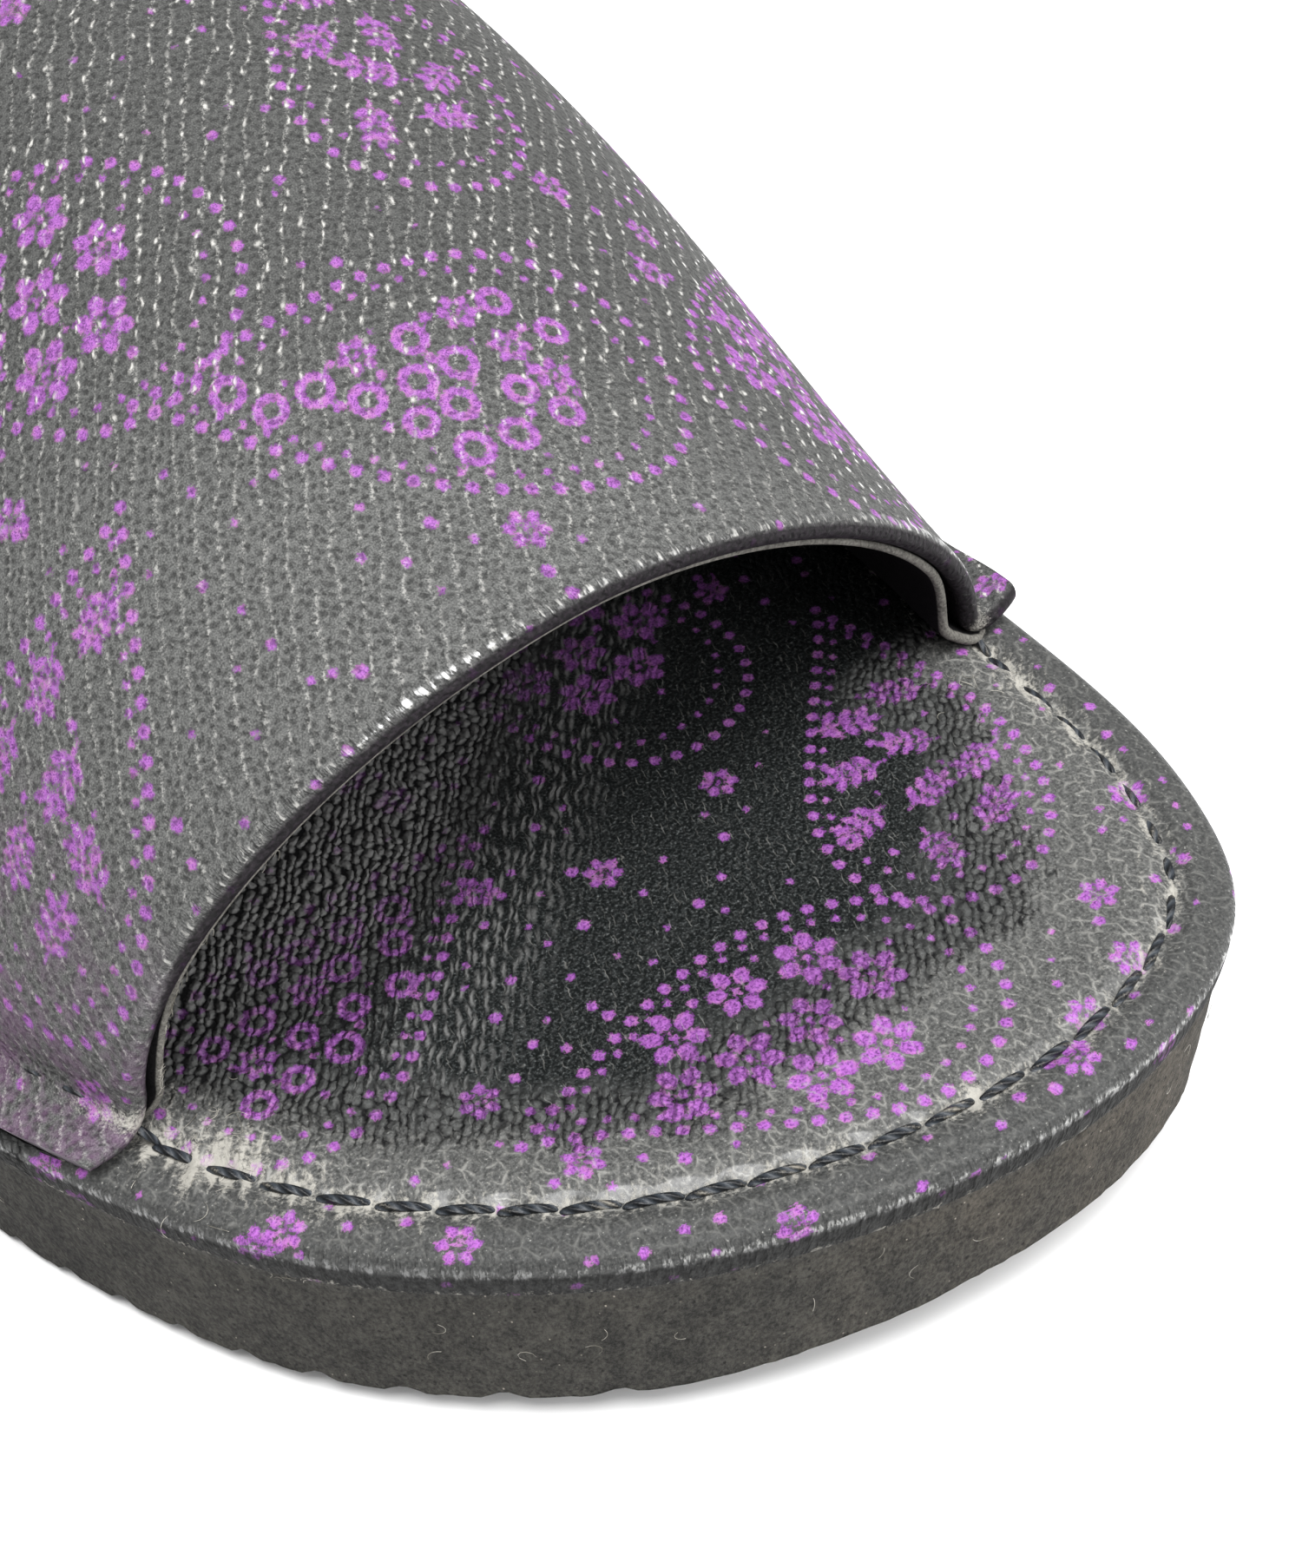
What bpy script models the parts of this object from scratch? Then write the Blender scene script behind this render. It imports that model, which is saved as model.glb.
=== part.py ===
"""Shower sandal for the right foot: a foam sole, a wrapped footbed and one wide stitched-down strap.

Sizes are in millimetres, and the meshes are scaled to metres when they are made.
X runs from the outer to the inner side of the foot, Y from toe to heel, Z up from the floor.
"""

import bmesh
import bpy
import numpy as np

MM = 0.001
GAP = 0.3

# Sole outline: distance back from the toe tip, inner edge and outer edge from the centre line
LENGTH = 285.0
TOE_TIP_X = 21.5
HEEL_TIP_X = 8.5
OUTLINE_ROWS = (
    {"back": 6.0, "inner": 42.0, "outer": -6.3},
    {"back": 15.0, "inner": 48.8, "outer": -21.4},
    {"back": 28.0, "inner": 52.6, "outer": -34.7},
    {"back": 45.0, "inner": 53.8, "outer": -44.5},
    {"back": 62.0, "inner": 54.2, "outer": -50.9},
    {"back": 90.0, "inner": 54.9, "outer": -55.1},
    {"back": 120.0, "inner": 52.9, "outer": -54.3},
    {"back": 155.0, "inner": 47.7, "outer": -47.3},
    {"back": 190.0, "inner": 45.3, "outer": -38.8},
    {"back": 225.0, "inner": 46.7, "outer": -31.8},
    {"back": 255.0, "inner": 45.5, "outer": -28.9},
    {"back": 275.0, "inner": 34.3, "outer": -17.7},
)
LOOP_POINTS = 2400

# Side profile of the sole
FOAM_THICKNESS = 17.2
TOE_SPRING = 5.0
TOE_SPRING_START = 95.0
TOE_TAPER = 3.0
TOE_TAPER_LENGTH = 13.0
HEEL_RAISE = 6.0
HEEL_RAISE_START = 110.0
HEEL_RAISE_END = 200.0
HEEL_CURVE = 1.5
HEEL_CURVE_LENGTH = 18.0

# Foam sole: wall insets from the footbed's edge and the grooves across its underside
FOAM_TOP_INSET = 0.4
FOAM_BOTTOM_INSET = 0.8
TREAD_PITCH = 5.5
TREAD_FIRST = 11.0
TREAD_COUNT = 48
GROOVE_MOUTH = 1.9
GROOVE_FLOOR = 0.9
GROOVE_DEPTH = 1.0
TIP_STATIONS = 8

# Footbed: a board wrapped in coated cloth, with a rounded lip
FOOTBED_THICKNESS = 4.2
LIP_ROWS = (
    {"inset": 1.4, "height": 0.0},
    {"inset": 0.4, "height": 0.3},
    {"inset": 0.0, "height": 1.0},
    {"inset": 0.0, "height": 2.1},
    {"inset": 0.3, "height": 3.0},
    {"inset": 1.1, "height": 3.8},
    {"inset": 2.4, "height": 4.2},
)
FOOTBED_STATIONS = 60
FOOTBED_COLUMNS = 6

# Strap: one section for each row, from the toe opening to the instep
STITCH_MARGIN = 5.1
STRAP_WALL = 2.2
FOLD_RADIUS = 1.8
FOLD_DEGREES = (0.0, 30.0, 60.0)
FLANGE_ROWS = (
    {"inset": 0.0, "drop": 0.65},
    {"inset": 1.1, "drop": 0.2},
    {"inset": 2.2, "drop": 0.0},
)
EDGE_ROUNDING = 0.7
EDGE_SEGMENTS = 2
EDGE_DEGREES = 60.0
STRAP_ROWS = (
    {"outer_back": 44.2, "inner_back": 45.4, "lean": -2.0, "height": 31.6, "shift": 0.0},
    {"outer_back": 75.5, "inner_back": 76.0, "lean": 0.0, "height": 42.3, "shift": 0.15},
    {"outer_back": 106.0, "inner_back": 106.5, "lean": 2.5, "height": 50.5, "shift": 0.2},
    {"outer_back": 138.0, "inner_back": 137.0, "lean": 4.0, "height": 54.5, "shift": 0.2},
)
OUTER_ROUNDNESS = 2.0
INNER_ROUNDNESS = (1.75, 2.0)
STRAP_STATIONS = 18
ARCH_STEPS = 13

# Finishes
SHARP_DEGREES = 40.0
FOAM_ROUGHNESS = 0.85
CLOTH_ROUGHNESS = 0.5
FOAM_COLOUR = (0.075, 0.068, 0.06, 1.0)
FOOTBED_COLOUR = (0.03, 0.03, 0.034, 1.0)
STRAP_COLOUR = (0.035, 0.033, 0.04, 1.0)


def smooth_loop(corners, count):
    """Closed cubic curve through the corners, read at an even step of its own parameter."""
    ahead = np.roll(corners, -1, axis=0)
    spans = np.sqrt(np.linalg.norm(ahead - corners, axis=1))
    size = len(corners)
    system = np.zeros((size, size))
    for i in range(size):
        system[i, i - 1] = spans[i - 1]
        system[i, i] = 2.0 * (spans[i - 1] + spans[i])
        system[i, (i + 1) % size] = spans[i]
    slopes = (ahead - corners) / spans[:, None]
    bends = np.linalg.solve(system, 6.0 * (slopes - np.roll(slopes, 1, axis=0)))
    knots = np.concatenate(([0.0], np.cumsum(spans)))
    places = np.linspace(0.0, knots[-1], count, endpoint=False)
    span_index = np.searchsorted(knots, places, side="right") - 1
    along = (places - knots[span_index])[:, None]
    width = spans[span_index][:, None]
    bend = bends[span_index]
    next_bend = bends[(span_index + 1) % size]
    start_slope = slopes[span_index] - width * (2.0 * bend + next_bend) / 6.0
    curve = corners[span_index] + along * start_slope
    return curve + along**2 * bend / 2.0 + along**3 * (next_bend - bend) / (6.0 * width)


def sole_edge():
    """Plan outline of the footbed, centred, starting at the toe and going along the inner side."""
    toe = [(TOE_TIP_X, 0.0)]
    inner = [(row["inner"], row["back"]) for row in OUTLINE_ROWS]
    heel = [(HEEL_TIP_X, LENGTH)]
    outer = [(row["outer"], row["back"]) for row in reversed(OUTLINE_ROWS)]
    loop = smooth_loop(np.array(toe + inner + heel + outer), LOOP_POINTS)
    return loop - (loop.max(axis=0) + loop.min(axis=0)) / 2.0


EDGE = sole_edge()
TOE_Y = EDGE[:, 1].min()


def outward(loop):
    """Unit normals of a loop, pointing away from the foot."""
    tangent = np.roll(loop, -1, axis=0) - np.roll(loop, 1, axis=0)
    tangent /= np.linalg.norm(tangent, axis=1)[:, None]
    return np.column_stack((tangent[:, 1], -tangent[:, 0]))


def inset_halves(inset):
    """Inner and outer halves of the edge moved in by the inset, each from toe to heel."""
    loop = EDGE - outward(EDGE) * inset
    loop = np.roll(loop, -loop[:, 1].argmin(), axis=0)
    heel = loop[:, 1].argmax()
    inner = loop[: heel + 1]
    outer = np.vstack((loop[heel:], loop[:1]))[::-1]
    return inner, outer


def edge_ring(inset, fractions):
    """Points round the inset edge, with the same fractions of its length on both sides."""
    inner, outer = inset_halves(inset)
    y = inner[0, 1] + fractions * (inner[-1, 1] - inner[0, 1])
    inner_x = np.interp(y, inner[:, 1], inner[:, 0])
    outer_x = np.interp(y, outer[:, 1], outer[:, 0])
    there = np.column_stack((inner_x, y))
    back_again = np.column_stack((outer_x, y))[-2:0:-1]
    return np.vstack((there, back_again))


def floor_height(y):
    """Height of the sole's underside: toe spring, flat middle and slightly raised toe and heel ends."""
    back = y - TOE_Y
    toe = np.clip(1.0 - back / TOE_SPRING_START, 0.0, None)
    toe_end = np.clip(1.0 - back / TOE_TAPER_LENGTH, 0.0, None)
    heel_end = np.clip(1.0 - (LENGTH - back) / HEEL_CURVE_LENGTH, 0.0, None)
    return TOE_SPRING * toe**2 + TOE_TAPER * toe_end**2 + HEEL_CURVE * heel_end**2


def foam_top(y):
    """Height of the foam's upper face, which rises from ball to heel."""
    back = y - TOE_Y
    toe = np.clip(1.0 - back / TOE_SPRING_START, 0.0, None)
    rise = np.clip((back - HEEL_RAISE_START) / (HEEL_RAISE_END - HEEL_RAISE_START), 0.0, 1.0)
    return TOE_SPRING * toe**2 + FOAM_THICKNESS + HEEL_RAISE * rise**2 * (3.0 - 2.0 * rise)


def footbed_height(y, height):
    """Height above the floor of a level in the footbed, counted from its underside."""
    return foam_top(y) + GAP + height


def lifted(points, heights):
    return np.column_stack((points, heights))


def add_closed_solid(name, rings, columns, colour, roughness):
    """Solid with its wall through the rings, closed by rows across the first and the last one."""
    mesh = bmesh.new()
    ring_verts = []
    for ring in rings:
        ring_verts.append([mesh.verts.new(point * MM) for point in ring])
    count = len(rings[0])
    for lower, upper in zip(ring_verts, ring_verts[1:]):
        for i in range(count):
            j = (i + 1) % count
            mesh.faces.new((lower[i], lower[j], upper[j], upper[i]))
    for verts in (ring_verts[0], ring_verts[-1]):
        add_cross_rows(mesh, verts, columns)
    bmesh.ops.recalc_face_normals(mesh, faces=mesh.faces)
    return add_object(name, mesh, colour, roughness)


def add_cross_rows(mesh, verts, columns):
    """Close a ring with rows from its inner to its outer side."""
    half = len(verts) // 2
    rows = []
    for k in range(1, half):
        start = verts[k]
        end = verts[-k]
        between = [mesh.verts.new(start.co.lerp(end.co, c / columns)) for c in range(1, columns)]
        rows.append([start] + between + [end])
    for row, next_row in zip(rows, rows[1:]):
        for c in range(columns):
            mesh.faces.new((row[c], row[c + 1], next_row[c + 1], next_row[c]))
    for c in range(columns):
        mesh.faces.new((verts[0], rows[0][c], rows[0][c + 1]))
        mesh.faces.new((verts[half], rows[-1][c], rows[-1][c + 1]))


def add_object(name, mesh, colour, roughness):
    """Put a finished mesh in the sandal's collection, with its own material."""
    data = bpy.data.meshes.new(name)
    mesh.to_mesh(data)
    mesh.free()
    data.shade_smooth()
    data.set_sharp_from_angle(angle=np.radians(SHARP_DEGREES))
    material = bpy.data.materials.new(name)
    material.use_nodes = True
    shader = material.node_tree.nodes["Principled BSDF"]
    shader.inputs["Base Color"].default_value = colour
    shader.inputs["Roughness"].default_value = roughness
    shader.inputs["Metallic"].default_value = 0.0
    data.materials.append(material)
    piece = bpy.data.objects.new(name, data)
    bpy.data.collections["shower_sandal"].objects.link(piece)
    return piece


def tread_stations():
    """Distances along the sole, and how deep the underside is cut at each of them."""
    tip = TREAD_FIRST - TREAD_PITCH / 2.0
    toe_end = tip * np.linspace(0.0, 1.0, TIP_STATIONS) ** 2
    last = TREAD_FIRST + (TREAD_COUNT - 0.5) * TREAD_PITCH
    heel_end = LENGTH - (LENGTH - last) * np.linspace(1.0, 0.0, TIP_STATIONS) ** 2
    stations = [(back, 0.0) for back in toe_end]
    for groove in range(TREAD_COUNT):
        centre = TREAD_FIRST + groove * TREAD_PITCH
        stations.append((centre - GROOVE_MOUTH / 2.0, 0.0))
        stations.append((centre - GROOVE_FLOOR / 2.0, GROOVE_DEPTH))
        stations.append((centre + GROOVE_FLOOR / 2.0, GROOVE_DEPTH))
        stations.append((centre + GROOVE_MOUTH / 2.0, 0.0))
    stations += [(back, 0.0) for back in heel_end]
    return np.array(stations).T


def build_outsole():
    """Foam sole cut from a grooved sheet, with upright walls."""
    back, depth = tread_stations()
    fractions = back / LENGTH
    ring_depth = np.concatenate((depth, depth[-2:0:-1]))
    bottom = edge_ring(FOAM_BOTTOM_INSET, fractions)
    top = edge_ring(FOAM_TOP_INSET, fractions)
    rings = [
        lifted(bottom, floor_height(bottom[:, 1]) + ring_depth),
        lifted(top, foam_top(top[:, 1])),
    ]
    return add_closed_solid("outsole", rings, 1, FOAM_COLOUR, FOAM_ROUGHNESS)


def build_footbed():
    """Footbed board with its wrapped and rounded lip."""
    turn = np.linspace(0.0, np.pi, FOOTBED_STATIONS + 1)
    fractions = (1.0 - np.cos(turn)) / 2.0
    rings = []
    for row in LIP_ROWS:
        ring = edge_ring(row["inset"], fractions)
        rings.append(lifted(ring, footbed_height(ring[:, 1], row["height"])))
    return add_closed_solid("footbed", rings, FOOTBED_COLUMNS, FOOTBED_COLOUR, CLOTH_ROUGHNESS)


def strap_row(fraction):
    """Sizes of the strap's section at a fraction of the way from the toe opening to the instep."""
    places = np.linspace(0.0, 1.0, len(STRAP_ROWS))
    sizes = {}
    for column in STRAP_ROWS[0]:
        values = [row[column] for row in STRAP_ROWS]
        sizes[column] = np.polyval(np.polyfit(places, values, len(STRAP_ROWS) - 1), fraction)
    return sizes


def fold_point(half, back):
    """Point of the stitch line at a distance back from the toe, and the way out to the edge."""
    y = TOE_Y + back
    x, behind, ahead = np.interp((y, y + 1.0, y - 1.0), half[:, 1], half[:, 0])
    slope = (behind - ahead) / 2.0
    out = np.array((1.0, -slope)) / np.hypot(1.0, slope)
    return np.array((x, y)), out * np.sign(x)


def flange_height(y):
    """Height of the strap's outer face where it lies flat on the footbed."""
    return footbed_height(y, FOOTBED_THICKNESS) + GAP + STRAP_WALL


def arch_rises(height, roundness):
    """Heights above the flange of a section's points, close together in the fold."""
    fold = FOLD_RADIUS * (1.0 - np.cos(np.radians(FOLD_DEGREES)))
    start = np.arcsin((FOLD_RADIUS / height) ** (roundness / 2.0))
    angles = np.linspace(start, np.pi / 2.0, ARCH_STEPS)
    return np.concatenate((fold, height * np.sin(angles) ** (2.0 / roundness)))


def strap_half(fold, out, middle, crown, height, roundness):
    """Half of a section's outer face, from the end of the flange through the fold to the crown."""
    points = []
    for row in FLANGE_ROWS:
        place = fold + out * (STITCH_MARGIN - row["inset"])
        points.append((*place, flange_height(place[1]) - row["drop"]))
    fold_level = flange_height(fold[1])
    crown_level = flange_height(middle[1])
    for rise in arch_rises(height, roundness):
        share = rise / height
        across = max(1.0 - share**roundness, 0.0) ** (1.0 / roundness)
        below = max(FOLD_RADIUS - rise, 0.0)
        turned_out = FOLD_RADIUS - np.sqrt(FOLD_RADIUS**2 - below**2)
        place = middle + (fold - middle) * across + (crown - middle) * share + out * turned_out
        level = fold_level + (crown_level - fold_level) * share + rise
        points.append((*place, level))
    return points


def strap_section(fraction, inner_half, outer_half):
    """One section of the strap's outer face, from the outer flange over the foot to the inner one."""
    sizes = strap_row(fraction)
    outer_fold, outer_out = fold_point(outer_half, sizes["outer_back"])
    inner_fold, inner_out = fold_point(inner_half, sizes["inner_back"])
    middle = (outer_fold + inner_fold) / 2.0
    crown = middle + (inner_fold - middle) * sizes["shift"]
    crown[1] += sizes["lean"]
    inner_roundness = np.interp(fraction, (0.0, 1.0), INNER_ROUNDNESS)
    outer = strap_half(outer_fold, outer_out, middle, crown, sizes["height"], OUTER_ROUNDNESS)
    inner = strap_half(inner_fold, inner_out, middle, crown, sizes["height"], inner_roundness)
    return outer + inner[-2::-1]


def build_upper():
    """Strap: an arched wall turned outward at the bottom into two flanges on the footbed."""
    inner_half, outer_half = inset_halves(STITCH_MARGIN)
    fractions = np.linspace(0.0, 1.0, STRAP_STATIONS)
    sections = [strap_section(fraction, inner_half, outer_half) for fraction in fractions]
    mesh = bmesh.new()
    rows = []
    for section in sections:
        rows.append([mesh.verts.new(np.array(point) * MM) for point in section])
    for row, next_row in zip(rows, rows[1:]):
        for c in range(len(row) - 1):
            mesh.faces.new((row[c], row[c + 1], next_row[c + 1], next_row[c]))
    piece = add_object("upper", mesh, STRAP_COLOUR, CLOTH_ROUGHNESS)
    wall = piece.modifiers.new("wall", "SOLIDIFY")
    wall.thickness = STRAP_WALL * MM
    wall.offset = -1.0
    wall.use_even_offset = True
    rounding = piece.modifiers.new("turned_edge", "BEVEL")
    rounding.width = EDGE_ROUNDING * MM
    rounding.segments = EDGE_SEGMENTS
    rounding.limit_method = "ANGLE"
    rounding.angle_limit = np.radians(EDGE_DEGREES)
    return piece


def main():
    for old in list(bpy.data.objects):
        bpy.data.objects.remove(old, do_unlink=True)
    collection = bpy.data.collections.new("shower_sandal")
    bpy.context.scene.collection.children.link(collection)
    build_outsole()
    build_footbed()
    build_upper()


main()
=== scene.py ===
"""Looks of a right-foot shower sandal: foam sole, wrapped footbed, stitched-down strap with a felt lining."""

import math

import bpy
import numpy as np
from mathutils import Matrix, Vector, kdtree, noise


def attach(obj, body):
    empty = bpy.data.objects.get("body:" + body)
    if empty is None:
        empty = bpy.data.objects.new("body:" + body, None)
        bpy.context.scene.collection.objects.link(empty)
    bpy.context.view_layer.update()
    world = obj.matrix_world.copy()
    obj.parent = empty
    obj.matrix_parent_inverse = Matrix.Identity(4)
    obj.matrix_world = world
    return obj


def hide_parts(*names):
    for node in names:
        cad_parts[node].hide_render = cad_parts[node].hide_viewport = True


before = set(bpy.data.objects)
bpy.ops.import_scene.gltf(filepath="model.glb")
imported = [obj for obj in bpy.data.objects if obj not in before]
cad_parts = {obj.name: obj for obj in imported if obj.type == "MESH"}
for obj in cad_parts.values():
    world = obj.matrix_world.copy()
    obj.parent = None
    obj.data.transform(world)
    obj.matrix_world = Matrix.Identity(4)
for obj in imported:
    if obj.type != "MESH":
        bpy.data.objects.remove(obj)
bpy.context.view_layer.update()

# Foam sole. A thick sheet of closed-cell foam cut to the outline with a knife, so its wall is upright,
# matt and finely speckled. Shallow grooves run across the underside and notch the lower edge.
MM = 0.001
LENGTH = 285.0
TOE_TIP_X = 21.5
HEEL_TIP_X = 8.5
OUTLINE_ROWS = (
    {"back": 6.0, "inner": 42.0, "outer": -6.3},
    {"back": 15.0, "inner": 48.8, "outer": -21.4},
    {"back": 28.0, "inner": 52.6, "outer": -34.7},
    {"back": 45.0, "inner": 53.8, "outer": -44.5},
    {"back": 62.0, "inner": 54.2, "outer": -50.9},
    {"back": 90.0, "inner": 54.9, "outer": -55.1},
    {"back": 120.0, "inner": 52.9, "outer": -54.3},
    {"back": 155.0, "inner": 47.7, "outer": -47.3},
    {"back": 190.0, "inner": 45.3, "outer": -38.8},
    {"back": 225.0, "inner": 46.7, "outer": -31.8},
    {"back": 255.0, "inner": 45.5, "outer": -28.9},
    {"back": 275.0, "inner": 34.3, "outer": -17.7},
)
LOOP_POINTS = 2400
FOAM_THICKNESS = 17.2
TOE_SPRING = 5.0
TOE_SPRING_START = 95.0
TOE_TAPER = 3.0
TOE_TAPER_LENGTH = 13.0
HEEL_RAISE = 6.0
HEEL_RAISE_START = 110.0
HEEL_RAISE_END = 200.0
HEEL_CURVE = 1.5
HEEL_CURVE_LENGTH = 18.0
FOAM_TOP_INSET = 0.4
FOAM_BOTTOM_INSET = 0.8
TREAD_PITCH = 5.5
TREAD_FIRST = 11.0
TREAD_COUNT = 48
GROOVE_MOUTH = 2.6
GROOVE_DEPTH = 1.0
ROWS_PER_GROOVE = 11
FOAM_TIP_ROWS = 40
FOAM_WALL_ROWS = 16
FOAM_COLUMNS = 10


def smooth_loop(corners, count):
    """Closed cubic curve through the corners, read at an even step of its own parameter."""
    ahead = np.roll(corners, -1, axis=0)
    spans = np.sqrt(np.linalg.norm(ahead - corners, axis=1))
    size = len(corners)
    system = np.zeros((size, size))
    for i in range(size):
        system[i, i - 1] = spans[i - 1]
        system[i, i] = 2.0 * (spans[i - 1] + spans[i])
        system[i, (i + 1) % size] = spans[i]
    slopes = (ahead - corners) / spans[:, None]
    bends = np.linalg.solve(system, 6.0 * (slopes - np.roll(slopes, 1, axis=0)))
    knots = np.concatenate(([0.0], np.cumsum(spans)))
    places = np.linspace(0.0, knots[-1], count, endpoint=False)
    span_index = np.searchsorted(knots, places, side="right") - 1
    along = (places - knots[span_index])[:, None]
    width = spans[span_index][:, None]
    bend = bends[span_index]
    next_bend = bends[(span_index + 1) % size]
    start_slope = slopes[span_index] - width * (2.0 * bend + next_bend) / 6.0
    curve = corners[span_index] + along * start_slope
    return curve + along**2 * bend / 2.0 + along**3 * (next_bend - bend) / (6.0 * width)


def sole_edge():
    """Plan outline of the footbed, centred, starting at the toe and going along the inner side."""
    inner = [(row["inner"], row["back"]) for row in OUTLINE_ROWS]
    outer = [(row["outer"], row["back"]) for row in reversed(OUTLINE_ROWS)]
    corners = [(TOE_TIP_X, 0.0)] + inner + [(HEEL_TIP_X, LENGTH)] + outer
    loop = smooth_loop(np.array(corners), LOOP_POINTS)
    return loop - (loop.max(axis=0) + loop.min(axis=0)) / 2.0


def outward(loop):
    """Unit normals of a plan loop, pointing away from the foot."""
    tangent = np.roll(loop, -1, axis=0) - np.roll(loop, 1, axis=0)
    tangent /= np.linalg.norm(tangent, axis=1)[:, None] + 1e-12
    return np.column_stack((tangent[:, 1], -tangent[:, 0]))


EDGE = sole_edge()
EDGE_OUT = outward(EDGE)
TOE_Y = EDGE[:, 1].min()


def inset_halves(inset):
    """Inner and outer halves of the edge moved in by the inset, each from toe to heel."""
    loop = EDGE - EDGE_OUT * inset
    loop = np.roll(loop, -loop[:, 1].argmin(), axis=0)
    heel = loop[:, 1].argmax()
    return loop[: heel + 1], np.vstack((loop[heel:], loop[:1]))[::-1]


def edge_ring(inset, fractions):
    """Points round the inset edge, with the same fractions of its length on both sides."""
    inner, outer = inset_halves(inset)
    y = inner[0, 1] + fractions * (inner[-1, 1] - inner[0, 1])
    inner_x = np.interp(y, inner[:, 1], inner[:, 0])
    outer_x = np.interp(y, outer[:, 1], outer[:, 0])
    return np.vstack((np.column_stack((inner_x, y)), np.column_stack((outer_x, y))[-2:0:-1]))


def floor_height(y):
    """Height of the sole's underside: toe spring, flat middle and slightly raised toe and heel ends."""
    back = y - TOE_Y
    toe = np.clip(1.0 - back / TOE_SPRING_START, 0.0, None)
    toe_end = np.clip(1.0 - back / TOE_TAPER_LENGTH, 0.0, None)
    heel_end = np.clip(1.0 - (LENGTH - back) / HEEL_CURVE_LENGTH, 0.0, None)
    return TOE_SPRING * toe**2 + TOE_TAPER * toe_end**2 + HEEL_CURVE * heel_end**2


def eased(share):
    """A share from 0 to 1 with soft ends."""
    return share**2 * (3.0 - 2.0 * share)


def foam_top(y):
    """Height of the foam's upper face, which rises from ball to heel."""
    back = y - TOE_Y
    toe = np.clip(1.0 - back / TOE_SPRING_START, 0.0, None)
    rise = np.clip((back - HEEL_RAISE_START) / (HEEL_RAISE_END - HEEL_RAISE_START), 0.0, 1.0)
    return TOE_SPRING * toe**2 + FOAM_THICKNESS + HEEL_RAISE * eased(rise)


def ripple(points, size):
    """Smooth noise between about -1 and 1 at each point, with waves of the given size."""
    return np.array([noise.noise(Vector(point) / size) for point in points])


def mesh_piece(name, points, faces):
    """Smooth-shaded object from points in millimetres."""
    data = bpy.data.meshes.new(name)
    data.from_pydata((np.asarray(points) * MM).tolist(), [], faces)
    data.validate()
    data.shade_smooth()
    piece = bpy.data.objects.new(name, data)
    bpy.context.scene.collection.objects.link(piece)
    return piece


def ring_wall(start, count, rings, flip=False):
    """Quads between rings of points that follow each other in one list."""
    faces = []
    for ring in range(rings - 1):
        low = start + ring * count
        for i in range(count):
            j = (i + 1) % count
            quad = (low + i, low + j, low + count + j, low + count + i)
            faces.append(quad[::-1] if flip else quad)
    return faces


def foam_sole_mesh():
    tip = TREAD_FIRST - TREAD_PITCH / 2.0
    last = TREAD_FIRST + (TREAD_COUNT - 0.5) * TREAD_PITCH
    toe_rows = tip * np.linspace(0.0, 1.0, FOAM_TIP_ROWS, endpoint=False) ** 2
    tread_rows = np.linspace(tip, last, TREAD_COUNT * ROWS_PER_GROOVE, endpoint=False)
    heel_rows = LENGTH - (LENGTH - last) * np.linspace(1.0, 0.0, FOAM_TIP_ROWS) ** 2
    back = np.concatenate((toe_rows, tread_rows, heel_rows))
    offset = (back - TREAD_FIRST + TREAD_PITCH / 2.0) % TREAD_PITCH - TREAD_PITCH / 2.0
    share = np.clip(np.abs(offset) / GROOVE_MOUTH, 0.0, 0.5)
    depth = GROOVE_DEPTH * np.cos(np.pi * share) ** 2 * ((back >= tip) & (back < last))
    ring_depth = np.concatenate((depth, depth[-2:0:-1]))
    fractions = back / LENGTH
    bottom = edge_ring(FOAM_BOTTOM_INSET, fractions)
    top = edge_ring(FOAM_TOP_INSET, fractions)
    low = floor_height(bottom[:, 1]) + ring_depth
    high = foam_top(top[:, 1])
    side = outward(bottom)
    count = len(bottom)
    rows = []
    for share in np.linspace(0.0, 1.0, FOAM_WALL_ROWS) ** 1.3:
        plan = bottom + (top - bottom) * share
        level = low + (high - low) * share
        points = np.column_stack((plan, level))
        rough = 0.10 * ripple(points, 3.1) + 0.06 * ripple(points, 0.9)
        points[:, :2] += side * rough[:, None]
        if share == 0.0:
            points[:, 2] += np.clip(0.22 * ripple(points, 1.3) + 0.05, 0.0, None)
        rows.append(points)
    points = np.vstack(rows)
    faces = ring_wall(0, count, FOAM_WALL_ROWS)
    half = count // 2
    columns = np.linspace(0.0, 1.0, FOAM_COLUMNS + 1)[1:-1]
    for ring, upward in ((0, False), (FOAM_WALL_ROWS - 1, True)):
        first = ring * count
        rim = points[first : first + count]
        body = []
        grid = []
        for k in range(1, half):
            inner, outer = rim[k], rim[count - k]
            start = len(points) + len(body)
            body.extend(inner + (outer - inner) * share for share in columns)
            between = list(range(start, start + len(columns)))
            grid.append([first + k] + between + [first + count - k])
        points = np.vstack((points, np.array(body)))
        patch = [(first, grid[0][c], grid[0][c + 1]) for c in range(FOAM_COLUMNS)]
        for row, after in zip(grid, grid[1:]):
            patch += [(row[c + 1], row[c], after[c], after[c + 1]) for c in range(FOAM_COLUMNS)]
        patch += [(first + half, grid[-1][c + 1], grid[-1][c]) for c in range(FOAM_COLUMNS)]
        faces += [face[::-1] for face in patch] if upward else patch
    return mesh_piece("foam_sole", points, faces)


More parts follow.
